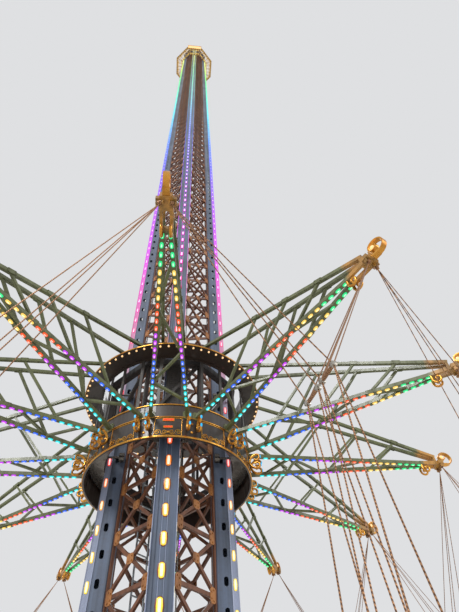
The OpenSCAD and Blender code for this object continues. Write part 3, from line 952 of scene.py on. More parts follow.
@dataclass
class MastLamps:
    """Lamps on the outer face of each column, and in the shallow light channels on its two flanks."""

    fitter: Fitter
    pitch: float = RIDE.bay_h / 2
    gauge: float = 0.054
    rail: tuple[float, float] = (0.006, 0.007)
    channel: tuple[float, float] = (0.074, 0.009)
    lip: float = 0.013

    def strips(self) -> list[Strip]:
        """The three rows of a column."""
        rows = [Strip("front", RIDE.box_r, 0.0, RIDE.base_h + self.pitch, 2 * RIDE.bays - 1, (0.158, 0.086, 0.004),
                      (0.140, 0.062, 0.007), (0.112, 0.030, 0.005), 12)]
        first = RIDE.base_h + 0.38 * self.pitch
        for name, side in (("left", -RIDE.col_w / 2), ("right", RIDE.col_w / 2)):
            rows.append(Strip(name, 0.769, side, first, 2 * RIDE.bays, None, (0.120, 0.042, 0.006),
                              (0.096, 0.022, 0.002), 8))
        return rows

    def row(self, name: str, strip: Strip, master: bpy.types.Object, above: float, turn: float) -> bpy.types.Object:
        """Copy one layer of a strip's lamps up its column."""
        spin = Matrix.Rotation(math.radians(turn), 4, "Z") @ strip.lay()
        stand = Matrix.Rotation(math.radians(90), 4, "Y")
        spots = [spin @ Matrix.Translation((above, 0, strip.first + i * self.pitch)) @ stand
                 for i in range(strip.count)]
        return Bench.spread(name, master, spots, True)

    def rails(self, name: str, strip: Strip, turn: float) -> bpy.types.Object:
        """Model the two thin rails beside the lamps of an outer face."""
        height = RIDE.mast_top - RIDE.base_h - 0.004
        bar = Bench.block(name, (self.rail[1], self.rail[0], height))
        Bench.pick_edges(bar, lambda m, d: abs(d.z) > 0.9 and m.x > 0)
        bpy.ops.mesh.bevel(offset=0.0015, segments=1, affect="EDGES")
        Bench.close(bar)
        spin = Matrix.Rotation(math.radians(turn), 4, "Z") @ strip.lay()
        spots = [spin @ Matrix.Translation((self.rail[1] / 2, s * self.gauge / 2, RIDE.base_h + 0.002 + height / 2))
                 for s in (-1, 1)]
        return Bench.spread(name, bar, spots)

    def trough(self, name: str, strip: Strip, turn: float) -> bpy.types.Object:
        """Model the light channel of a flank: a shallow trough with two bright lips."""
        height = RIDE.mast_top - RIDE.base_h - 0.004
        wide, deep = self.channel
        body = Bench.block(name, (deep, wide, height))
        Bench.pick(body, lambda c, n: n.x > 0.9)
        bpy.ops.mesh.inset(thickness=self.lip)
        Bench.move((0.002 - deep, 0, 0))
        Bench.pick_edges(body, lambda m, d: abs(d.z) > 0.9 and m.x > 0.3 * deep)
        bpy.ops.mesh.bevel(offset=0.0025, segments=1, affect="EDGES")
        Bench.close(body)
        spin = Matrix.Rotation(math.radians(turn), 4, "Z") @ strip.lay()
        body.data.transform(spin @ Matrix.Translation((deep / 2, 0, RIDE.base_h + 0.002 + height / 2)))
        return body

    def build(self) -> None:
        """Build bezels, glasses, cores, rails and channels of the twelve strips."""
        columns = (("near", -90), ("right", 0), ("far", 90), ("left", 180))
        for strip in self.strips():
            level = 0.0 if strip.bezel else 0.002
            layers = [("glass", strip.glass, "mast_glass"), ("core", strip.core, "mast_core")]
            if strip.bezel:
                layers.insert(0, ("bezel", strip.bezel, "lamp_bezel"))
            for what, (length, width, rise), finish in layers:
                master = Bench.lens(f"{strip.name}_{what}", length, width, rise, strip.sides)
                for column, turn in columns:
                    row = self.row(f"{strip.name}_{what}_{column}", strip, master, level, turn)
                    self.fitter.fit(row, finish, "mast")
                bpy.data.objects.remove(master)
                level += rise - 0.0006
            # The rails and channels take the rail paint with its painted lamp light.
            for column, turn in columns:
                if strip.bezel:
                    self.fitter.fit(self.rails(f"{strip.name}_rails_{column}", strip, turn), "strip_rail", "mast")
                else:
                    self.fitter.fit(self.trough(f"{strip.name}_channel_{column}", strip, turn), "strip_rail", "mast")


@dataclass
class LatticePlates:
    """Bolted plates where the lattice bars meet."""

    fitter: Fitter
    thick: float = 0.006

    def plate(self, name: str, wide: float, high: float, bolts: Sequence[tuple[float, float]]) -> bpy.types.Object:
        """Model one plate on z = 0 with its corners cut and its bolts."""
        body = Bench.block(name, (wide, high, self.thick), (0, 0, 0))
        Bench.pick_edges(body, lambda m, d: abs(d.z) > 0.9)
        bpy.ops.mesh.bevel(offset=0.22 * min(wide, high), segments=1, affect="EDGES")
        Bench.pick(body, lambda c, n: True)
        Bench.move((0, 0, self.thick / 2))
        Bench.close(body)
        head = Bench.drum(f"{name}_bolt", 6, 0.009, 0.010)
        Bench.pick(head, lambda c, n: n.z > 0.9)
        bpy.ops.mesh.inset(thickness=0.003)
        Bench.close(head)
        spots = [Matrix.Translation((x, y, self.thick + 0.004)) for x, y in bolts]
        return Bench.join(name, [body, Bench.spread(f"{name}_bolts", head, spots)])

    def build(self) -> None:
        """Build the side plates and the middle plates of the four lattice sides."""
        side = self.plate("side_plate", 0.085, 0.150, [(-0.012, -0.05), (0.02, -0.03), (-0.012, 0.05), (0.02, 0.03)])
        middle = self.plate("middle_plate", 0.105, 0.105, [(-0.025, -0.025), (0.025, 0.025), (0.025, -0.025)])
        face = RIDE.face_r + RIDE.brace_t / 2
        for q, turn in enumerate((-45, 45, 135, 225), 1):
            spin = Matrix.Rotation(math.radians(turn), 4, "Z")
            stand = Matrix.Rotation(math.radians(90), 4, "Z") @ Matrix.Rotation(math.radians(90), 4, "X")
            edges, crosses = [], []
            for i in range(RIDE.bays):
                z = RIDE.base_h + i * RIDE.bay_h
                crosses.append(spin @ Matrix.Translation((face, 0, z + RIDE.bay_h / 2)) @ stand)
                for s in (-1, 1):
                    if i:
                        turned = Matrix.Rotation(math.pi if s > 0 else 0, 4, "Z")
                        edges.append(spin @ Matrix.Translation((face, s * 0.258, z)) @ stand @ turned)
            self.fitter.fit(Bench.spread(f"side_plates_{q}", side, edges, True), "plate_paint", "mast")
            self.fitter.fit(Bench.spread(f"middle_plates_{q}", middle, crosses, True), "plate_paint", "mast")
        bpy.data.objects.remove(side)
        bpy.data.objects.remove(middle)


@dataclass
class FootBolts:
    """Anchor bolts of the column shoes."""

    fitter: Fitter

    def build(self) -> None:
        """Build eight bolts round each column."""
        master = Bench.bolt("foot_bolt", 0.026, 0.014)
        spots = []
        for q in range(4):
            spin = Matrix.Rotation(math.pi / 2 * q, 4, "Z")
            for x in (RIDE.inner_r - 0.020, RIDE.corner_r + 0.020):
                spots += [spin @ Matrix.Translation((x, y, RIDE.base_h)) for y in (-0.10, 0.0, 0.10)]
            spots += [spin @ Matrix.Translation((0.66, s * 0.138, RIDE.base_h)) for s in (-1, 1)]
        self.fitter.fit(Bench.spread("foot_bolts", master, spots), "galvanised_steel", "mast")


@dataclass
class ArmLamps:
    """Lamps under the lower chords of the twelve arms."""

    fitter: Fitter
    first: float = 1.259
    pitch: float = 0.09443
    count: int = 24

    def places(self, index: int, below: float) -> list[Matrix]:
        """Places of one arm's lamps, hanging below the chords."""
        flip = Matrix.Rotation(math.pi, 4, "X")
        slope = math.atan2(RIDE.chord_out - RIDE.chord_in, RIDE.chord_end - RIDE.hub_r)
        made = []
        for s in (-1, 1):
            for i in range(self.count):
                reach = self.first + i * self.pitch
                spot = Matrix.Translation((reach, s * RIDE.chord_side(reach), RIDE.arm_z + RIDE.beam_in - below))
                made.append(RIDE.arm(index) @ spot @ Matrix.Rotation(s * slope, 4, "Z") @ flip)
        return made

    def build(self) -> None:
        """Build the glasses and cores of every arm."""
        for what, size, rise, below, finish in (("glass", (0.060, 0.034), 0.012, 0.0, "arm_glass"),
                                                ("core", (0.030, 0.012), 0.004, 0.0114, "arm_core")):
            master = Bench.lens(f"arm_{what}", *size, rise, 10)
            for k in range(12):
                row = Bench.spread(f"arm_{what}_{k + 1}", master, self.places(k, below), True)
                self.fitter.fit(row, finish, "star")
            bpy.data.objects.remove(master)


@dataclass
class ArmPlates:
    """Bolted collars at the arm roots and gusset plates at the arms' joints."""

    fitter: Fitter
    low_nodes: tuple[float, ...] = (1.600, 2.180, 2.760)
    top_nodes: tuple[float, ...] = (2.200, 2.710, 3.180)

    def plate(self, name: str, wide: float, high: float, thick: float, bolt: float) -> bpy.types.Object:
        """Model a plate on z = 0 with cut corners and four bolts."""
        body = Bench.block(name, (wide, high, thick))
        Bench.pick_edges(body, lambda m, d: abs(d.z) > 0.9)
        bpy.ops.mesh.bevel(offset=0.2 * min(wide, high), segments=1, affect="EDGES")
        Bench.pick(body, lambda c, n: True)
        Bench.move((0, 0, thick / 2))
        Bench.close(body)
        head = Bench.drum(f"{name}_bolt", 6, bolt, bolt)
        Bench.pick(head, lambda c, n: n.z > 0.9)
        bpy.ops.mesh.inset(thickness=0.3 * bolt)
        Bench.close(head)
        spots = [Matrix.Translation((x * 0.38 * wide, y * 0.30 * high, thick + 0.4 * bolt))
                 for x in (-1, 1) for y in (-1, 1)]
        return Bench.join(name, [body, Bench.spread(f"{name}_bolts", head, spots)])

    def build(self) -> None:
        """Build the collars and gussets of the star."""
        out = Matrix.Rotation(math.pi / 2, 4, "Z") @ Matrix.Rotation(math.pi / 2, 4, "X")
        for name, half, z, size in (("low", RIDE.chord_in, RIDE.arm_z + 0.025, 0.112),
                                    ("top", RIDE.top_in, RIDE.top_z(RIDE.hub_r) - 0.004, 0.060)):
            collar = self.plate(f"{name}_collar", size, size, 0.010, 0.007)
            turn = math.degrees(math.asin(half / RIDE.hub_r)) / 30
            spots = [RIDE.arm(k + s * turn) @ Matrix.Translation((RIDE.hub_r - 0.002, 0, z)) @ out
                     for k in range(12) for s in (-1, 1)]
            self.fitter.fit(Bench.spread(f"{name}_collars", collar, spots), "arm_paint", "star")
        gusset = self.plate("gusset", 0.110, 0.052, 0.005, 0.006)
        spots = []
        for k in range(12):
            for s in (-1, 1):
                face = Matrix.Rotation(-s * math.pi / 2, 4, "X")
                for reach in self.low_nodes:
                    slope = math.atan2(RIDE.chord_out - RIDE.chord_in, RIDE.chord_end - RIDE.hub_r)
                    at = (reach, s * (RIDE.chord_side(reach) + RIDE.chord_w / 2), RIDE.arm_z + 0.025)
                    spots.append(RIDE.arm(k) @ Matrix.Translation(at) @ Matrix.Rotation(s * slope, 4, "Z") @ face)
                for reach in self.top_nodes:
                    slope = math.atan2(RIDE.chord_out - RIDE.top_in, RIDE.top_end - RIDE.hub_r)
                    fall = math.atan2(RIDE.top_rise, RIDE.end_r - RIDE.hub_r)
                    at = (reach, s * (RIDE.top_side(reach) + RIDE.top_w / 2), RIDE.top_z(reach))
                    spots.append(RIDE.arm(k) @ Matrix.Translation(at) @ Matrix.Rotation(s * slope, 4, "Z")
                                 @ Matrix.Rotation(fall, 4, "Y") @ face)
        self.fitter.fit(Bench.spread("arm_gussets", gusset, spots), "arm_paint", "star")


class Bulb:
    """Small round lamps and their sockets."""

    @staticmethod
    def glass(name: str, radius: float) -> bpy.types.Object:
        """Model a small bulb that hangs from z = 0."""
        bulb = Bench.add(name, bpy.ops.mesh.primitive_uv_sphere_add, segments=8, ring_count=6, radius=radius,
                         location=(0, 0, -1.7 * radius))
        Bench.pick_points(bulb, lambda p: p.z > 0.45 * radius)
        bpy.ops.transform.resize(value=(0.8, 0.8, 1.3), center_override=(0, 0, -1.7 * radius))
        return Bench.close(bulb, 60)

    @staticmethod
    def socket(name: str, radius: float, depth: float) -> bpy.types.Object:
        """Model a short bevelled socket round the origin."""
        socket = Bench.drum(name, 10, radius, depth)
        Bench.pick_edges(socket, lambda m, d: m.z < -0.2 * depth and abs(d.z) < 0.1)
        bpy.ops.mesh.bevel(offset=0.25 * radius, segments=1, affect="EDGES")
        return Bench.close(socket, 40)


@dataclass
class BogieCovers:
    """Ribbed covers of the carriage in front of the four columns."""

    fitter: Fitter
    wide: float = 0.190
    thick: float = 0.010
    reach: float = 0.822

    def build(self) -> None:
        """Build the covers, their ribs and their bolts."""
        low, high = RIDE.lift_z + 0.100, RIDE.lift_z + RIDE.frame_rise
        tall = high - low - 0.002
        plate = Bench.block("bogie_cover", (self.thick, self.wide, tall))
        Bench.pick(plate, lambda c, n: n.x > 0.9)
        bpy.ops.mesh.inset(thickness=0.022)
        Bench.move((-0.003, 0, 0))
        bpy.ops.mesh.inset(thickness=0.020)
        Bench.move((0.004, 0, 0))
        Bench.pick_edges(plate, lambda m, d: abs(d.z) > 0.9 and abs(m.y) > 0.49 * self.wide)
        bpy.ops.mesh.bevel(offset=0.003, segments=2, affect="EDGES")
        Bench.close(plate, 40)
        slat = Bench.block("bogie_slat", (0.006, self.wide - 0.100, 0.014))
        Bench.pick_edges(slat, lambda m, d: m.x > 0)
        bpy.ops.mesh.bevel(offset=0.003, segments=2, affect="EDGES")
        Bench.close(slat, 40)
        slats = Bench.spread("bogie_slats", slat, [Matrix.Translation((0.007, 0, z * 0.036)) for z in range(-11, 12)])
        bolt = Bench.bolt("bogie_bolt", 0.014, 0.007)
        out = Matrix.Rotation(math.pi / 2, 4, "Y")
        bolts = Bench.spread("bogie_bolts", bolt, [Matrix.Translation((self.thick / 2, y, z)) @ out
                                                   for y in (-0.084, 0.084) for z in (-0.44, -0.22, 0.0, 0.22, 0.44)])
        cover = Bench.join("bogie_cover", [plate, slats, bolts])
        spots = [Matrix.Rotation(math.pi / 2 * q, 4, "Z") @ Matrix.Translation((self.reach, 0, (low + high) / 2))
                 for q in range(4)]
        self.fitter.fit(Bench.spread("bogie_covers", cover, spots), "carriage_paint", "carriage")


@dataclass
class HubTrim:
    """Beads, lit slots and bulbs on the hub."""

    fitter: Fitter

    def build(self) -> None:
        """Build the hub's pieces."""
        low, top = RIDE.lift_z - RIDE.skirt, RIDE.lift_z + RIDE.frame_rise
        for name, z, high in (("skirt_bead_low", low + 0.012, 0.022), ("skirt_bead_high", RIDE.lift_z + 0.19, 0.016),
                              ("skirt_bead_middle", RIDE.lift_z + 0.005, 0.010), ("top_bead_high", top + 0.24, 0.02)):
            bead = Bench.ring(name, RIDE.hub_r + 0.004, z, (0.014, high))
            self.fitter.fit(bead, "scroll_gold", "star")
        rim = Bench.ring("flange_bead", RIDE.flange_r + 0.002, top - 0.003, (0.010, 0.018))
        self.fitter.fit(rim, "scroll_gold", "star")
        for row, (z, sweep, high) in enumerate(((4.160, 6.4, 0.026), (4.060, 5.0, 0.018)), 1):
            frame = Bench.ring("slot_frame", RIDE.hub_r + 0.002, z, (0.008, high + 0.016), 10, sweep + 1, -sweep / 2 - 0.5)
            frames = Bench.spread(f"slot_frames_{row}", frame, [RIDE.arm(3 * q) for q in range(4)])
            self.fitter.fit(frames, "scroll_gold", "star")
            arc = Bench.ring("slot_lamp", RIDE.hub_r + 0.005, z, (0.010, high), 10, sweep, -sweep / 2, 0.35)
            lamps = Bench.spread(f"slot_lamps_{row}", arc, [RIDE.arm(3 * q) for q in range(4)])
            self.fitter.fit(lamps, "red_glass", "star")
        spots = [RIDE.arm((k + 0.5) / 6) @ Matrix.Translation((1.262, 0, top - 0.010)) for k in range(72)]
        self.fitter.fit(Bench.spread("hub_bulbs", Bulb.glass("bulb", 0.014), spots), "warm_glass", "star")
        spots = [RIDE.arm((k + 0.5) / 6) @ Matrix.Translation((1.262, 0, top - 0.017)) for k in range(72)]
        self.fitter.fit(Bench.spread("hub_sockets", Bulb.socket("socket", 0.011, 0.014), spots), "bright_steel", "star")


@dataclass
class SkirtPanels:
    """Gilded mouldings that frame panels on the hub's skirt, with scrolls and rosettes, and its rivets."""

    fitter: Fitter
    sweep: float = 17.0
    low: float = 3.944
    high: float = 4.186
    scroll_z: float = 3.990

    def build(self) -> None:
        """Build the mouldings, scrolls, rosettes and rivets."""
        wide = RIDE.hub_r * math.radians(self.sweep)
        everywhere = [RIDE.arm(k) for k in range(12)]
        frame = [Bench.ring(f"moulding_{i}", RIDE.hub_r + 0.002, z, (0.008, 0.008), 14, self.sweep, -self.sweep / 2)
                 for i, z in enumerate((self.low, self.high))]
        post = Bench.block("moulding_post", (0.008, 0.008, self.high - self.low))
        Bench.pick_edges(post, lambda m, d: abs(d.z) > 0.9 and m.x > 0)
        bpy.ops.mesh.bevel(offset=0.0024, segments=2, affect="EDGES")
        Bench.close(post, 40)
        middle = (self.low + self.high) / 2
        ends = [Matrix.Rotation(math.radians(s * self.sweep / 2), 4, "Z") @ Matrix.Translation((RIDE.hub_r + 0.002, 0, middle))
                for s in (-1, 1)]
        frame.append(Bench.spread("moulding_posts", post, ends))
        self.fitter.fit(Bench.spread("skirt_mouldings", Bench.join("moulding", frame), everywhere), "scroll_gold", "star")
        flat = Matrix.Rotation(math.pi / 2, 4, "Z") @ Matrix.Rotation(math.pi / 2, 4, "X")
        for side, name in ((-1, "left"), (1, "right")):
            scroll = Bench.scroll("skirt_scroll", 0.032, (0.007, 0.009), side)
            angle = math.degrees(side * 0.26 * wide / RIDE.hub_r) / 30
            spots = [RIDE.arm(k + angle) @ Matrix.Translation((RIDE.hub_r + 0.001, 0, self.scroll_z)) @ flat
                     for k in range(12)]
            self.fitter.fit(Bench.spread(f"skirt_scrolls_{name}", scroll, spots), "scroll_gold", "star")
        rosette = Bench.drum("rosette", 10, 0.015, 0.010)
        Bench.pick(rosette, lambda c, n: n.z > 0.9)
        bpy.ops.mesh.inset(thickness=0.006)
        Bench.move((0, 0, 0.004))
        bpy.ops.mesh.inset(thickness=0.003)
        Bench.move((0, 0, -0.003))
        Bench.close(rosette, 35)
        spots = [RIDE.arm(k + half) @ Matrix.Translation((RIDE.hub_r + 0.002, 0, z)) @ flat
                 for k in range(12) for half, z in ((0, self.scroll_z), (0.5, 4.005), (0.5, 4.125))]
        self.fitter.fit(Bench.spread("skirt_rosettes", rosette, spots), "scroll_gold", "star")
        rivet = Bench.drum("rivet", 8, 0.006, 0.006)
        Bench.pick_edges(rivet, lambda m, d: m.z > 0 and abs(d.z) < 0.1)
        bpy.ops.mesh.bevel(offset=0.0025, segments=2, affect="EDGES")
        Bench.close(rivet, 50)
        spots = [RIDE.arm(k / 10) @ Matrix.Translation((RIDE.hub_r + 0.002, 0, z)) @ flat
                 for k in range(120) for z in (RIDE.lift_z + RIDE.frame_rise + 0.215,)]
        self.fitter.fit(Bench.spread("ring_rivets", rivet, spots), "scroll_gold", "star")


@dataclass
class ScrollLamps:
    """Small lamps on the curls under the arm roots and in the crooks at the tips."""

    fitter: Fitter

    def button(self, name: str, radius: float, wide: float) -> bpy.types.Object:
        """Model a double-domed lamp across Y."""
        body = Bench.drum(name, 16, radius, wide)
        Bench.pick_edges(body, lambda m, d: abs(m.z) > 0.4 * wide and abs(d.z) < 0.1)
        bpy.ops.mesh.bevel(offset=0.45 * radius, segments=3, affect="EDGES")
        Bench.close(body, 60)
        body.data.transform(Matrix.Rotation(math.pi / 2, 4, "X"))
        return body

    def build(self) -> None:
        """Build the lamps."""
        turn = math.degrees(math.asin(RIDE.chord_in / RIDE.hub_r)) / 30
        curl = RIDE.root_r + 0.0153 + 0.6 * RIDE.root_r * math.cos(math.radians(97)) + 0.4 * RIDE.root_r + 0.011
        middle = RIDE.arm_z - RIDE.root_r - 0.050
        stand = Matrix.Rotation(math.pi / 2, 4, "Y")
        spots = [RIDE.arm(k + s * turn) @ Matrix.Translation((RIDE.hub_r + curl, 0, middle + m * 0.6 * RIDE.root_r)) @ stand
                 for k in range(12) for s in (-1, 1) for m in (-1, 1)]
        lamp = Bench.lens("curl_lamp", 0.046, 0.024, 0.008, 10)
        self.fitter.fit(Bench.spread("curl_lamps", lamp, spots), "cyan_glass", "star")
        lamp = self.button("tip_lamp", 0.022, 0.050)
        reach = RIDE.end_r + RIDE.cap_r - 0.010 + 0.5 * RIDE.cap_r * math.cos(math.radians(139))
        height = RIDE.arm_z + RIDE.cap_r + 0.024 + 0.5 * RIDE.cap_r * math.sin(math.radians(139))
        spots = [RIDE.arm(k) @ Matrix.Translation((reach, 0, height)) for k in range(12)]
        self.fitter.fit(Bench.spread("tip_lamps", lamp, spots), "warm_glass", "star")


@dataclass
class CrownLamps:
    """Light boxes on the near and far side of the crown and bulbs round its canopy."""

    fitter: Fitter
    box: tuple[float, float, float] = (0.170, 0.900, 0.050)
    reach: float = 1.255

    def build(self) -> None:
        """Build the light boxes and the bulbs."""
        case = Bench.block("light_box", self.box)
        Bench.pick(case, lambda c, n: n.z < -0.9)
        bpy.ops.mesh.inset(thickness=0.018)
        Bench.move((0, 0, 0.010))
        Bench.pick_edges(case, lambda m, d: abs(d.z) > 0.9 and abs(m.y) > 0.44)
        bpy.ops.mesh.bevel(offset=0.024, segments=3, affect="EDGES")
        Bench.close(case, 40)
        glass = Bench.block("light_panel", (self.box[0] - 0.040, self.box[1] - 0.040, 0.010))
        Bench.pick_edges(glass, lambda m, d: True)
        bpy.ops.mesh.bevel(offset=0.003, segments=2, affect="EDGES")
        Bench.close(glass, 40)
        low = RIDE.crown_z - self.box[2] / 2
        for name, piece, z, finish in (("light_boxes", case, low, "scroll_gold"),
                                       ("light_panels", glass, low - self.box[2] / 2 + 0.006, "warm_glass")):
            spots = [Matrix.Rotation(math.pi / 2 * q, 4, "Z") @ Matrix.Translation((self.reach, 0, z)) for q in (1, 3)]
            self.fitter.fit(Bench.spread(name, piece, spots), finish, "mast")
        spots = []
        for q in range(8):
            spin = Matrix.Rotation(math.radians(45 * q), 4, "Z")
            for reach, count in ((RIDE.crown_r - 0.05, 7), (RIDE.corner_r + 0.028, 4)):
                half = reach * math.tan(math.radians(22.5))
                for i in range(count):
                    y = half * (2 * (i + 0.5) / count - 1)
                    if not (q in (2, 6) and reach > 1 and abs(y) < 0.47 and self.reach - self.box[0] / 2 < reach):
                        spots.append(spin @ Matrix.Translation((reach, y, RIDE.crown_z + 0.004)))
            for s in (-1, 1):
                for around in range(6):
                    a = math.radians(60 * around + 30)
                    spots.append(spin @ Matrix.Translation((0.968 + 0.115 * math.cos(a),
                                                            s * 0.2005 + 0.115 * math.sin(a), RIDE.crown_z + 0.008)))
        curls = []
        for q in range(8):
            spin = Matrix.Rotation(math.radians(45 * q), 4, "Z")
            for reach, count in ((1.066, 4), (0.876, 3)):
                half = reach * math.tan(math.radians(22.5))
                for i in range(count):
                    at = spin @ Matrix.Translation((reach, half * (2 * (i + 0.5) / count - 1), RIDE.crown_z - 0.004))
                    curls.append(at @ Matrix.Rotation(math.pi / 2, 4, "Z"))
                    spots += [at @ Matrix.Translation((0, y, 0.004)) for y in (-0.055, 0.055)]
        curl = Bench.scroll("crown_curl", 0.052, (0.012, 0.012), 1)
        self.fitter.fit(Bench.spread("crown_curls", curl, curls), "scroll_gold", "mast")
        self.fitter.fit(Bench.spread("crown_bulbs", Bulb.glass("crown_bulb", 0.020), spots), "pale_glass", "mast")


@dataclass
class SwingFittings:
    """Sockets, clamps, grips and pads of the twelve swings."""

    fitter: Fitter

    def blown(self, pad: bpy.types.Object, rise: float) -> None:
        """Blow a closed mesh up as cloth, then scale the swelling to its furthest rise.

        Args:
            pad: The piece, in its cut shape.
            rise: Furthest that a point moves.
        """
        pad.select_set(True)
        bpy.context.view_layer.objects.active = pad
        pad.data.remesh_voxel_size = 0.006
        bpy.ops.object.voxel_remesh()
        cut = [point.co.copy() for point in pad.data.vertices]
        floor = min(point.z for point in cut)
        bpy.ops.object.modifier_add(type="CLOTH")
        cloth = pad.modifiers[-1]
        cloth.settings.use_pressure = True
        cloth.settings.uniform_pressure_force = 4.0
        cloth.settings.effector_weights.gravity = 0.0
        for frame in range(1, 21):
            bpy.context.scene.frame_set(frame)
        bpy.ops.object.modifier_apply(modifier=cloth.name)
        bpy.context.scene.frame_set(1)
        swell = [point.co - start for point, start in zip(pad.data.vertices, cut)]
        share = rise / max(move.z for move in swell)
        for point, start, move in zip(pad.data.vertices, cut, swell):
            point.co = start + Vector((0.3 * move.x, 0.3 * move.y, move.z)) * share
            point.co.z = max(point.co.z, floor)
        LOG.info("%s: %d points, cloth moved %.1f mm, kept share %.2f", pad.name, len(cut),
                 1000 * max(move.length for move in swell), share)

    def pad(self, name: str, size: Sequence[float]) -> bpy.types.Object:
        """Model a blown pad with a flat sewn seam round it, centred on the origin."""
        pad = Bench.block(name, (size[0] - 0.012, size[1] - 0.012, size[2]))
        Bench.pick_edges(pad, lambda m, d: True)
        bpy.ops.mesh.bevel(offset=0.005, segments=2, affect="EDGES")
        self.blown(Bench.close(pad), 0.0075)
        Bench.close(pad, 60)
        seam = Bench.block(f"{name}_seam", (size[0], size[1], 0.003))
        Bench.pick_edges(seam, lambda m, d: abs(d.z) > 0.9)
        bpy.ops.mesh.bevel(offset=0.014, segments=4, affect="EDGES")
        return Bench.join(name, [pad, Bench.close(seam, 40)])

    def build(self) -> None:
        """Build the fittings of each swing."""
        boss = Bench.drum("boss", 12, 0.012, 0.034)
        Bench.pick(boss, lambda c, n: n.z > 0.9)
        bpy.ops.mesh.inset(thickness=0.004)
        Bench.move((0, 0, 0.010))
        Bench.close(boss, 35)
        clamp = Bench.block("clamp", (0.030, 0.034, 0.030))
        Bench.pick_edges(clamp, lambda m, d: True)
        bpy.ops.mesh.bevel(offset=0.006, segments=2, affect="EDGES")
        Bench.close(clamp, 40)
        grip = Bench.drum("grip", 16, 0.018, 0.15)
        Bench.pick_edges(grip, lambda m, d: abs(m.z) > 0.07 and abs(d.z) < 0.1)
        bpy.ops.mesh.bevel(offset=0.008, segments=2, affect="EDGES")
        Bench.close(grip, 50)
        grip.data.transform(Matrix.Rotation(math.pi / 2, 4, "Y"))
        pan = self.pad("pan_pad", (0.186, 0.170, 0.022))
        back = self.pad("back_pad", (0.186, 0.210, 0.020))
        tread = Bench.block("tread", (0.430, 0.050, 0.004))
        Bench.pick(tread, lambda c, n: n.z > 0.9)
        bpy.ops.mesh.inset(thickness=0.006)
        Bench.move((0, 0, 0.002))
        Bench.close(tread)
        belt = Bench.block("belt", (0.180, 0.032, 0.003))
        Bench.pick_edges(belt, lambda m, d: abs(d.x) > 0.9)
        bpy.ops.mesh.bevel(offset=0.001, segments=1, affect="EDGES")
        Bench.close(belt, 40)
        buckle = Bench.block("buckle", (0.046, 0.040, 0.012))
        Bench.pick(buckle, lambda c, n: n.z > 0.9)
        bpy.ops.mesh.inset(thickness=0.008)
        Bench.move((0, 0, -0.003))
        Bench.pick_edges(buckle, lambda m, d: max(abs(m.x) / 0.023, abs(m.y) / 0.020) > 0.98)
        bpy.ops.mesh.bevel(offset=0.003, segments=2, affect="EDGES")
        Bench.close(buckle, 40)
        low = RIDE.seat_z - RIDE.rest_h
        wall, rope_y = 0.016, RIDE.seat_depth / 2 - 0.021
        for k in range(12):
            at = RIDE.arm(k + 0.5) @ Matrix.Translation((RIDE.swing_r, 0, 0))
            seats = [at @ Matrix.Translation((x, y, RIDE.seat_z + 0.0175))
                     for x in (-0.210, -0.026, 0.026, 0.210) for y in (-rope_y, rope_y)]
            knots = [at @ Matrix.Translation((x, 0, RIDE.spreader_z)) for x in (-0.160, -0.026, 0.026, 0.160)]
            bars = [at @ Matrix.Translation((x, RIDE.seat_depth / 2 - 0.024, RIDE.seat_z - 0.050)) for x in (-0.115, 0.115)]
            pans = [at @ Matrix.Translation((x, -0.008, low + 0.011)) for x in (-0.115, 0.115)]
            lean = Matrix.Rotation(-math.pi / 2, 4, "X")
            backs = [at @ Matrix.Translation((x, wall - RIDE.seat_depth / 2 + 0.010, low + 0.165)) @ lean
                     for x in (-0.115, 0.115)]
            step = [at @ Matrix.Translation((0, RIDE.seat_depth / 2 - 0.020, low - 0.210 + 0.004))]
            body = f"swing_{k + 1}"
            for name, master, spots, finish in (
                ("rope_bosses", boss, seats, "bright_steel"), ("rope_clamps", clamp, knots, "bright_steel"),
                ("bar_grips", grip, bars, "dark_rubber"), ("pan_pads", pan, pans, "pad_vinyl"),
                ("back_pads", back, backs, "pad_vinyl"), ("foot_treads", tread, step, "dark_rubber"),
                ("belts", belt, [p @ Matrix.Translation((0, 0.02, 0.0185)) for p in pans], "belt_web"),
                ("buckles", buckle, [p @ Matrix.Translation((0, 0.02, 0.0225)) for p in pans], "bright_steel"),
            ):
                piece = Bench.spread(f"{name}_{k + 1}", master, spots, True)
                self.fitter.fit(piece, finish, body)
        for master in (boss, clamp, grip, pan, back, tread, belt, buckle):
            bpy.data.objects.remove(master)


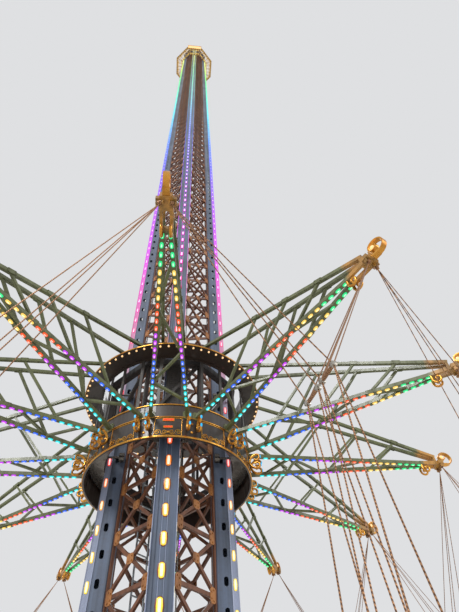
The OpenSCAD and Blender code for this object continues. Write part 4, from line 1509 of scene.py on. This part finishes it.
@dataclass
class Studio:
    """Pale floor, soft light and the camera of the photograph."""

    finishes: Finishes
    lens: float = 25.96
    eye: tuple[float, float, float] = (0.11453, -5.24875, 0.80)
    heading: float = 80.47
    pitch: float = 53.01
    roll: float = -0.0904

    def camera(self) -> None:
        """Set the camera where the photograph was taken."""
        data = bpy.data.cameras.new("photo_camera")
        data.lens = self.lens
        data.sensor_width = 36
        data.clip_end = 400
        camera = bpy.data.objects.new("photo_camera", data)
        bpy.context.collection.objects.link(camera)
        heading, pitch = math.radians(self.heading), math.radians(self.pitch)
        ahead = Vector((math.cos(heading) * math.cos(pitch), math.sin(heading) * math.cos(pitch), math.sin(pitch)))
        right = Vector((math.sin(heading), -math.cos(heading), 0))
        upward = right.cross(ahead)
        side = math.cos(self.roll) * right + math.sin(self.roll) * upward
        crest = -math.sin(self.roll) * right + math.cos(self.roll) * upward
        camera.matrix_world = Matrix.Translation(self.eye) @ Matrix((side, crest, -ahead)).transposed().to_4x4()
        bpy.context.scene.camera = camera

    def light(self, name: str, strength: float, azimuth: float, height: float, soft: float) -> None:
        """Add one soft far light.

        Args:
            name: Name of the light.
            strength: Its strength.
            azimuth: Direction that it comes from, in degrees from +X.
            height: Height that it comes from, in degrees above the horizon.
            soft: Its apparent size in degrees.
        """
        data = bpy.data.lights.new(name, "SUN")
        data.energy = strength
        data.angle = math.radians(soft)
        lamp = bpy.data.objects.new(name, data)
        bpy.context.collection.objects.link(lamp)
        a, h = math.radians(azimuth), math.radians(height)
        back = Vector((math.cos(a) * math.cos(h), math.sin(a) * math.cos(h), math.sin(h)))
        lamp.rotation_mode = "QUATERNION"
        lamp.rotation_quaternion = (-back).to_track_quat("-Z", "Y")

    def build(self) -> None:
        """Build the floor, the world and the lights."""
        floor = Bench.add("studio_floor", bpy.ops.mesh.primitive_circle_add, vertices=64, radius=90, fill_type="NGON")
        Bench.pick(floor, lambda c, n: True)
        bpy.ops.mesh.inset(thickness=20)
        Bench.close(floor)
        self.finishes.dress(floor, "studio_pale")
        world = bpy.data.worlds.new("studio_world")
        world.use_nodes = True
        bpy.context.scene.world = world
        graph = Graph(world.node_tree)
        nodes = world.node_tree.nodes
        nodes.clear()
        out = graph.add("ShaderNodeOutputWorld")
        soft, shown = graph.add("ShaderNodeBackground"), graph.add("ShaderNodeBackground")
        soft.inputs[0].default_value = (1, 1, 1, 1)
        soft.inputs[1].default_value = 0.62
        shown.inputs[0].default_value = (*linear("#dfe0e2"), 1)
        shown.inputs[1].default_value = 1.0
        path = graph.add("ShaderNodeLightPath")
        seen = graph.math("ADD", path.outputs["Is Camera Ray"], path.outputs["Is Glossy Ray"], True)
        seen = graph.math("ADD", seen, path.outputs["Is Transmission Ray"], True)
        blend = graph.add("ShaderNodeMixShader")
        graph.link(seen, blend.inputs[0])
        graph.link(soft.outputs[0], blend.inputs[1])
        graph.link(shown.outputs[0], blend.inputs[2])
        graph.link(blend.outputs[0], out.inputs[0])
        self.light("key_light", 1.7, 235, 38, 18)
        self.light("side_light", 0.7, 330, 20, 30)
        self.light("back_light", 0.6, 90, 40, 30)
        self.camera()
        bpy.context.scene.view_settings.view_transform = "Standard"


def main() -> None:
    """Dress the solids, build the pieces and set the studio."""
    logging.basicConfig(level=logging.INFO, format="%(message)s", stream=sys.stdout)
    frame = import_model()
    Bench.clear()
    Effects.make_all()
    finishes = Finishes()
    finishes.nodes(frame)
    fitter = Fitter(finishes)
    for piece in (MastLamps(fitter), LatticePlates(fitter), FootBolts(fitter), ArmLamps(fitter), ArmPlates(fitter),
                  BogieCovers(fitter), HubTrim(fitter), SkirtPanels(fitter), ScrollLamps(fitter), CrownLamps(fitter), SwingFittings(fitter)):
        piece.build()
    Studio(finishes).build()


if __name__ == "__main__":
    main()
